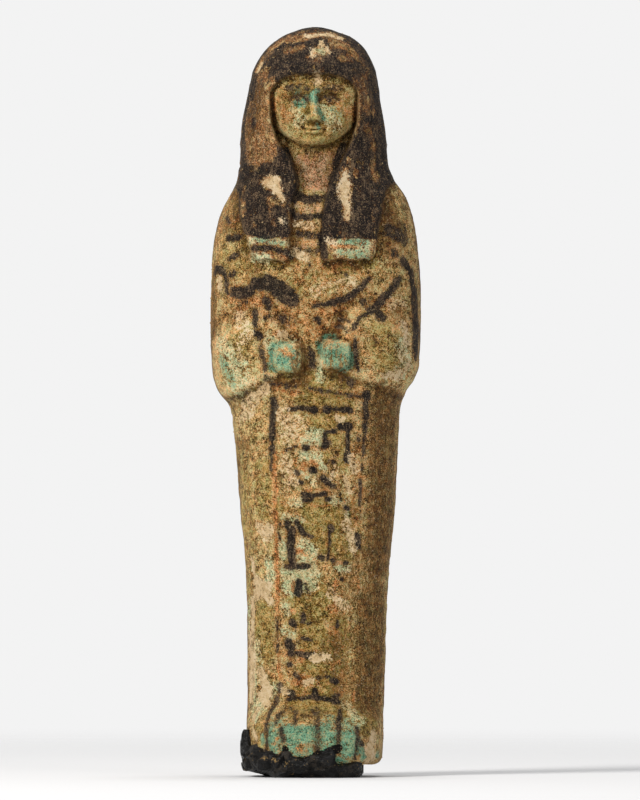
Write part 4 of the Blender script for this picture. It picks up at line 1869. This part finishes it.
@dataclass(frozen=True)
class ResinFinish:
    """Old black resin: dull where it has weathered and glossy where it broke."""

    black: Colour = linear(10, 9, 8)
    dull: Colour = linear(38, 33, 27)
    earth: Colour = linear(134, 108, 66)
    relief: float = 0.00008
    gloss: float = 0.16

    def material(self) -> bpy.types.Material:
        """Builds the material.

        Returns:
            The material.
        """
        s = Sheet("old_resin")
        broad = s.noise(2.4, 4.0, 0.65)
        fine = s.noise(0.5, 3.0, 0.75, shift=4.0)
        spread = s.noise(1.1, 3.0, 0.7, shift=12.0)
        dull = s.mask((0.8, broad), (0.5, fine), low=0.1, high=1.6)
        colour = s.mix(dull, self.black, self.dull)
        crumbs = s.mask((1.0, fine), (0.8, spread), (2.2, Layer.FLAKE), base=-3.0, low=-0.2, high=0.3)
        colour = s.coat(colour, crumbs, 0.85, self.earth)
        rough = s.total((0.25, dull), (0.3, crumbs), base=0.22)
        height = s.total((0.25, fine), (0.3, broad), (0.5, crumbs))
        return s.finish(colour, rough, height, self.relief, self.gloss)


@dataclass(frozen=True)
class CrustFinish:
    """Sand and lime from the burial, in small grains."""

    pale: Colour = linear(202, 170, 122)
    brown: Colour = linear(112, 84, 50)
    relief: float = 0.00002
    gloss: float = 0.3

    def material(self) -> bpy.types.Material:
        """Builds the material.

        Returns:
            The material.
        """
        s = Sheet("burial_crust")
        tone = s.noise(0.9, 3.0, 0.7, shift=2.0)
        fine = s.noise(0.2, 2.0, 0.6)
        colour = s.mix(s.mask((1.0, tone), (0.6, fine), low=-0.9, high=0.9), self.brown, self.pale)
        return s.finish(colour, s.total((0.08, fine), base=0.8), fine, self.relief, self.gloss)


@dataclass(frozen=True)
class FloorFinish:
    """A matt pale board that fades into the backdrop."""

    pale: Colour = (0.645, 0.645, 0.65)
    roughness: float = 0.9
    solid: float = 0.08
    gone: float = 0.46

    def material(self) -> bpy.types.Material:
        """Builds the material.

        Returns:
            The material, which is solid near the object and gone far from it.
        """
        s = Sheet("pale_board")
        away = s.add("ShaderNodeVectorMath", {0: s.mm}, "Value", operation="LENGTH")
        fade = s.step(away, self.gone / MM, self.solid / MM)
        for name, value in (
            ("Alpha", fade),
            ("Base Color", self.pale),
            ("Roughness", self.roughness),
            ("Specular IOR Level", 0.0),
        ):
            s.feed(s.shader.inputs[name], value)
        return s.material


@dataclass(frozen=True)
class Lamp:
    """One soft round light: its place, its width in metres, its power in watts and its tint."""

    name: str
    spot: Point3
    size: float
    power: float
    tint: Colour


@dataclass
class Studio:
    """The pale floor, the backdrop, the lights and the camera."""

    scale: float = 0.00018024
    height: int = 800
    middle: Point2 = (320.0, 400.0)
    axis_column: float = 315.0
    ground_row: float = 776.0
    distance: float = 3.0
    film: float = 36.0
    backdrop: float = 0.896
    ambient: float = 0.50
    floor_radius: float = 0.5
    floor_drop: float = 0.00002
    lit_middle: Point3 = (0.0, 0.0, 0.068)
    lamps: tuple[Lamp, ...] = (
        Lamp("key", (-0.60, -0.58, 0.56), 0.30, 10.4, (1.0, 0.98, 0.95)),
        Lamp("fill", (0.55, -0.75, 0.15), 0.40, 2.3, (0.97, 0.98, 1.0)),
        Lamp("top", (0.05, 0.10, 0.80), 0.30, 2.3, (1.0, 1.0, 1.0)),
        Lamp("rear", (0.10, 0.85, 0.35), 0.50, 4.0, (1.0, 1.0, 1.0)),
    )

    def floor(self) -> bpy.types.Object:
        """Makes the floor.

        Returns:
            A round board, just under the object.
        """
        turns = np.linspace(0.0, 2.0 * math.pi, 96, endpoint=False)
        radius = self.floor_radius
        ring = np.stack(
            [radius * np.cos(turns), radius * np.sin(turns), np.full_like(turns, -self.floor_drop)], axis=-1
        )
        mesh = bpy.data.meshes.new("floor")
        mesh.from_pydata(ring.tolist(), [], [tuple(range(len(ring)))])
        return place(mesh, FloorFinish().material())

    def light(self, lamp: Lamp) -> None:
        """Hangs one light so that it looks at the middle of the figure.

        Args:
            lamp: the light.
        """
        bulb = bpy.data.lights.new(lamp.name, "AREA")
        bulb.shape = "DISK"
        bulb.size = lamp.size
        bulb.energy = lamp.power
        bulb.color = lamp.tint
        holder = bpy.data.objects.new(lamp.name, bulb)
        bpy.context.scene.collection.objects.link(holder)
        holder.location = lamp.spot
        aim = np.array(self.lit_middle) - np.array(lamp.spot)
        yaw = math.atan2(aim[0], -aim[1])
        pitch = math.atan2(float(np.hypot(aim[0], aim[1])), -aim[2])
        holder.rotation_euler = (pitch, 0.0, math.pi + yaw if aim[1] > 0 else yaw)

    def world(self) -> None:
        """Makes the pale backdrop, which gives less light than it shows."""
        world = bpy.data.worlds.new("studio")
        bpy.context.scene.world = world
        world.use_nodes = True
        tree = world.node_tree
        tree.nodes.clear()
        seen, given, path, join, out = (
            tree.nodes.new(kind)
            for kind in (
                *["ShaderNodeBackground"] * 2, "ShaderNodeLightPath", "ShaderNodeMixShader",
                "ShaderNodeOutputWorld",
            )
        )
        seen.inputs["Color"].default_value = (self.backdrop, self.backdrop, self.backdrop, 1.0)
        given.inputs["Color"].default_value = (1.0, 1.0, 1.0, 1.0)
        given.inputs["Strength"].default_value = self.ambient
        for source, given_out, target, taken_in in (
            (path, "Is Camera Ray", join, "Fac"),
            (given, "Background", join, 1),
            (seen, "Background", join, 2),
            (join, "Shader", out, "Surface"),
        ):
            tree.links.new(source.outputs[given_out], target.inputs[taken_in])

    def camera(self) -> None:
        """Makes the camera: level, in front of the figure and far off, with a long lens."""
        lens = bpy.data.cameras.new("camera")
        lens.sensor_fit = "VERTICAL"
        lens.sensor_height = lens.sensor_width = self.film
        lens.lens = self.film * self.distance / (self.height * self.scale)
        lens.clip_end = 50.0
        holder = bpy.data.objects.new("camera", lens)
        bpy.context.scene.collection.objects.link(holder)
        across = (self.middle[0] - self.axis_column) * self.scale
        up = (self.ground_row - self.middle[1]) * self.scale
        holder.location = (across, -self.distance, up)
        holder.rotation_euler = (math.pi / 2.0, 0.0, 0.0)
        bpy.context.scene.camera = holder

    def build(self) -> bpy.types.Object:
        """Sets up the studio.

        Returns:
            The floor.
        """
        bpy.context.scene.view_settings.view_transform = "Standard"
        self.world()
        for lamp in self.lamps:
            self.light(lamp)
        self.camera()
        return self.floor()


class Ushabti:
    """The whole object: figure, resin and the grains of its crust."""

    def keep(self, piece: bpy.types.Object, node: str | None = None) -> None:
        """Lets a piece ride on the part.

        Args:
            piece: the piece.
            node: the node of the part that it stands for, if it stands for one.
        """
        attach(piece, "root")
        if node:
            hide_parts(node)
        LOG.info("%s: %d points, %d faces", piece.name, len(piece.data.vertices), len(piece.data.polygons))

    def build(self) -> None:
        """Makes and dresses every piece."""
        figure = FigurePiece().build()
        figure.data.materials.append(FaienceFinish().material())
        self.keep(figure, "figure")
        resin = ResinPiece().build()
        resin.data.materials.append(ResinFinish().material())
        self.keep(resin, "resin_bed")
        grains = GrainScatter().build(figure, CrustFinish().material())
        self.keep(grains)


def main() -> None:
    """Builds the object, then the studio round it, and notes both boxes."""
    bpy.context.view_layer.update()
    Ushabti().build()
    Studio().build()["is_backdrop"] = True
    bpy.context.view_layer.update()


if __name__ == "__main__":
    main()
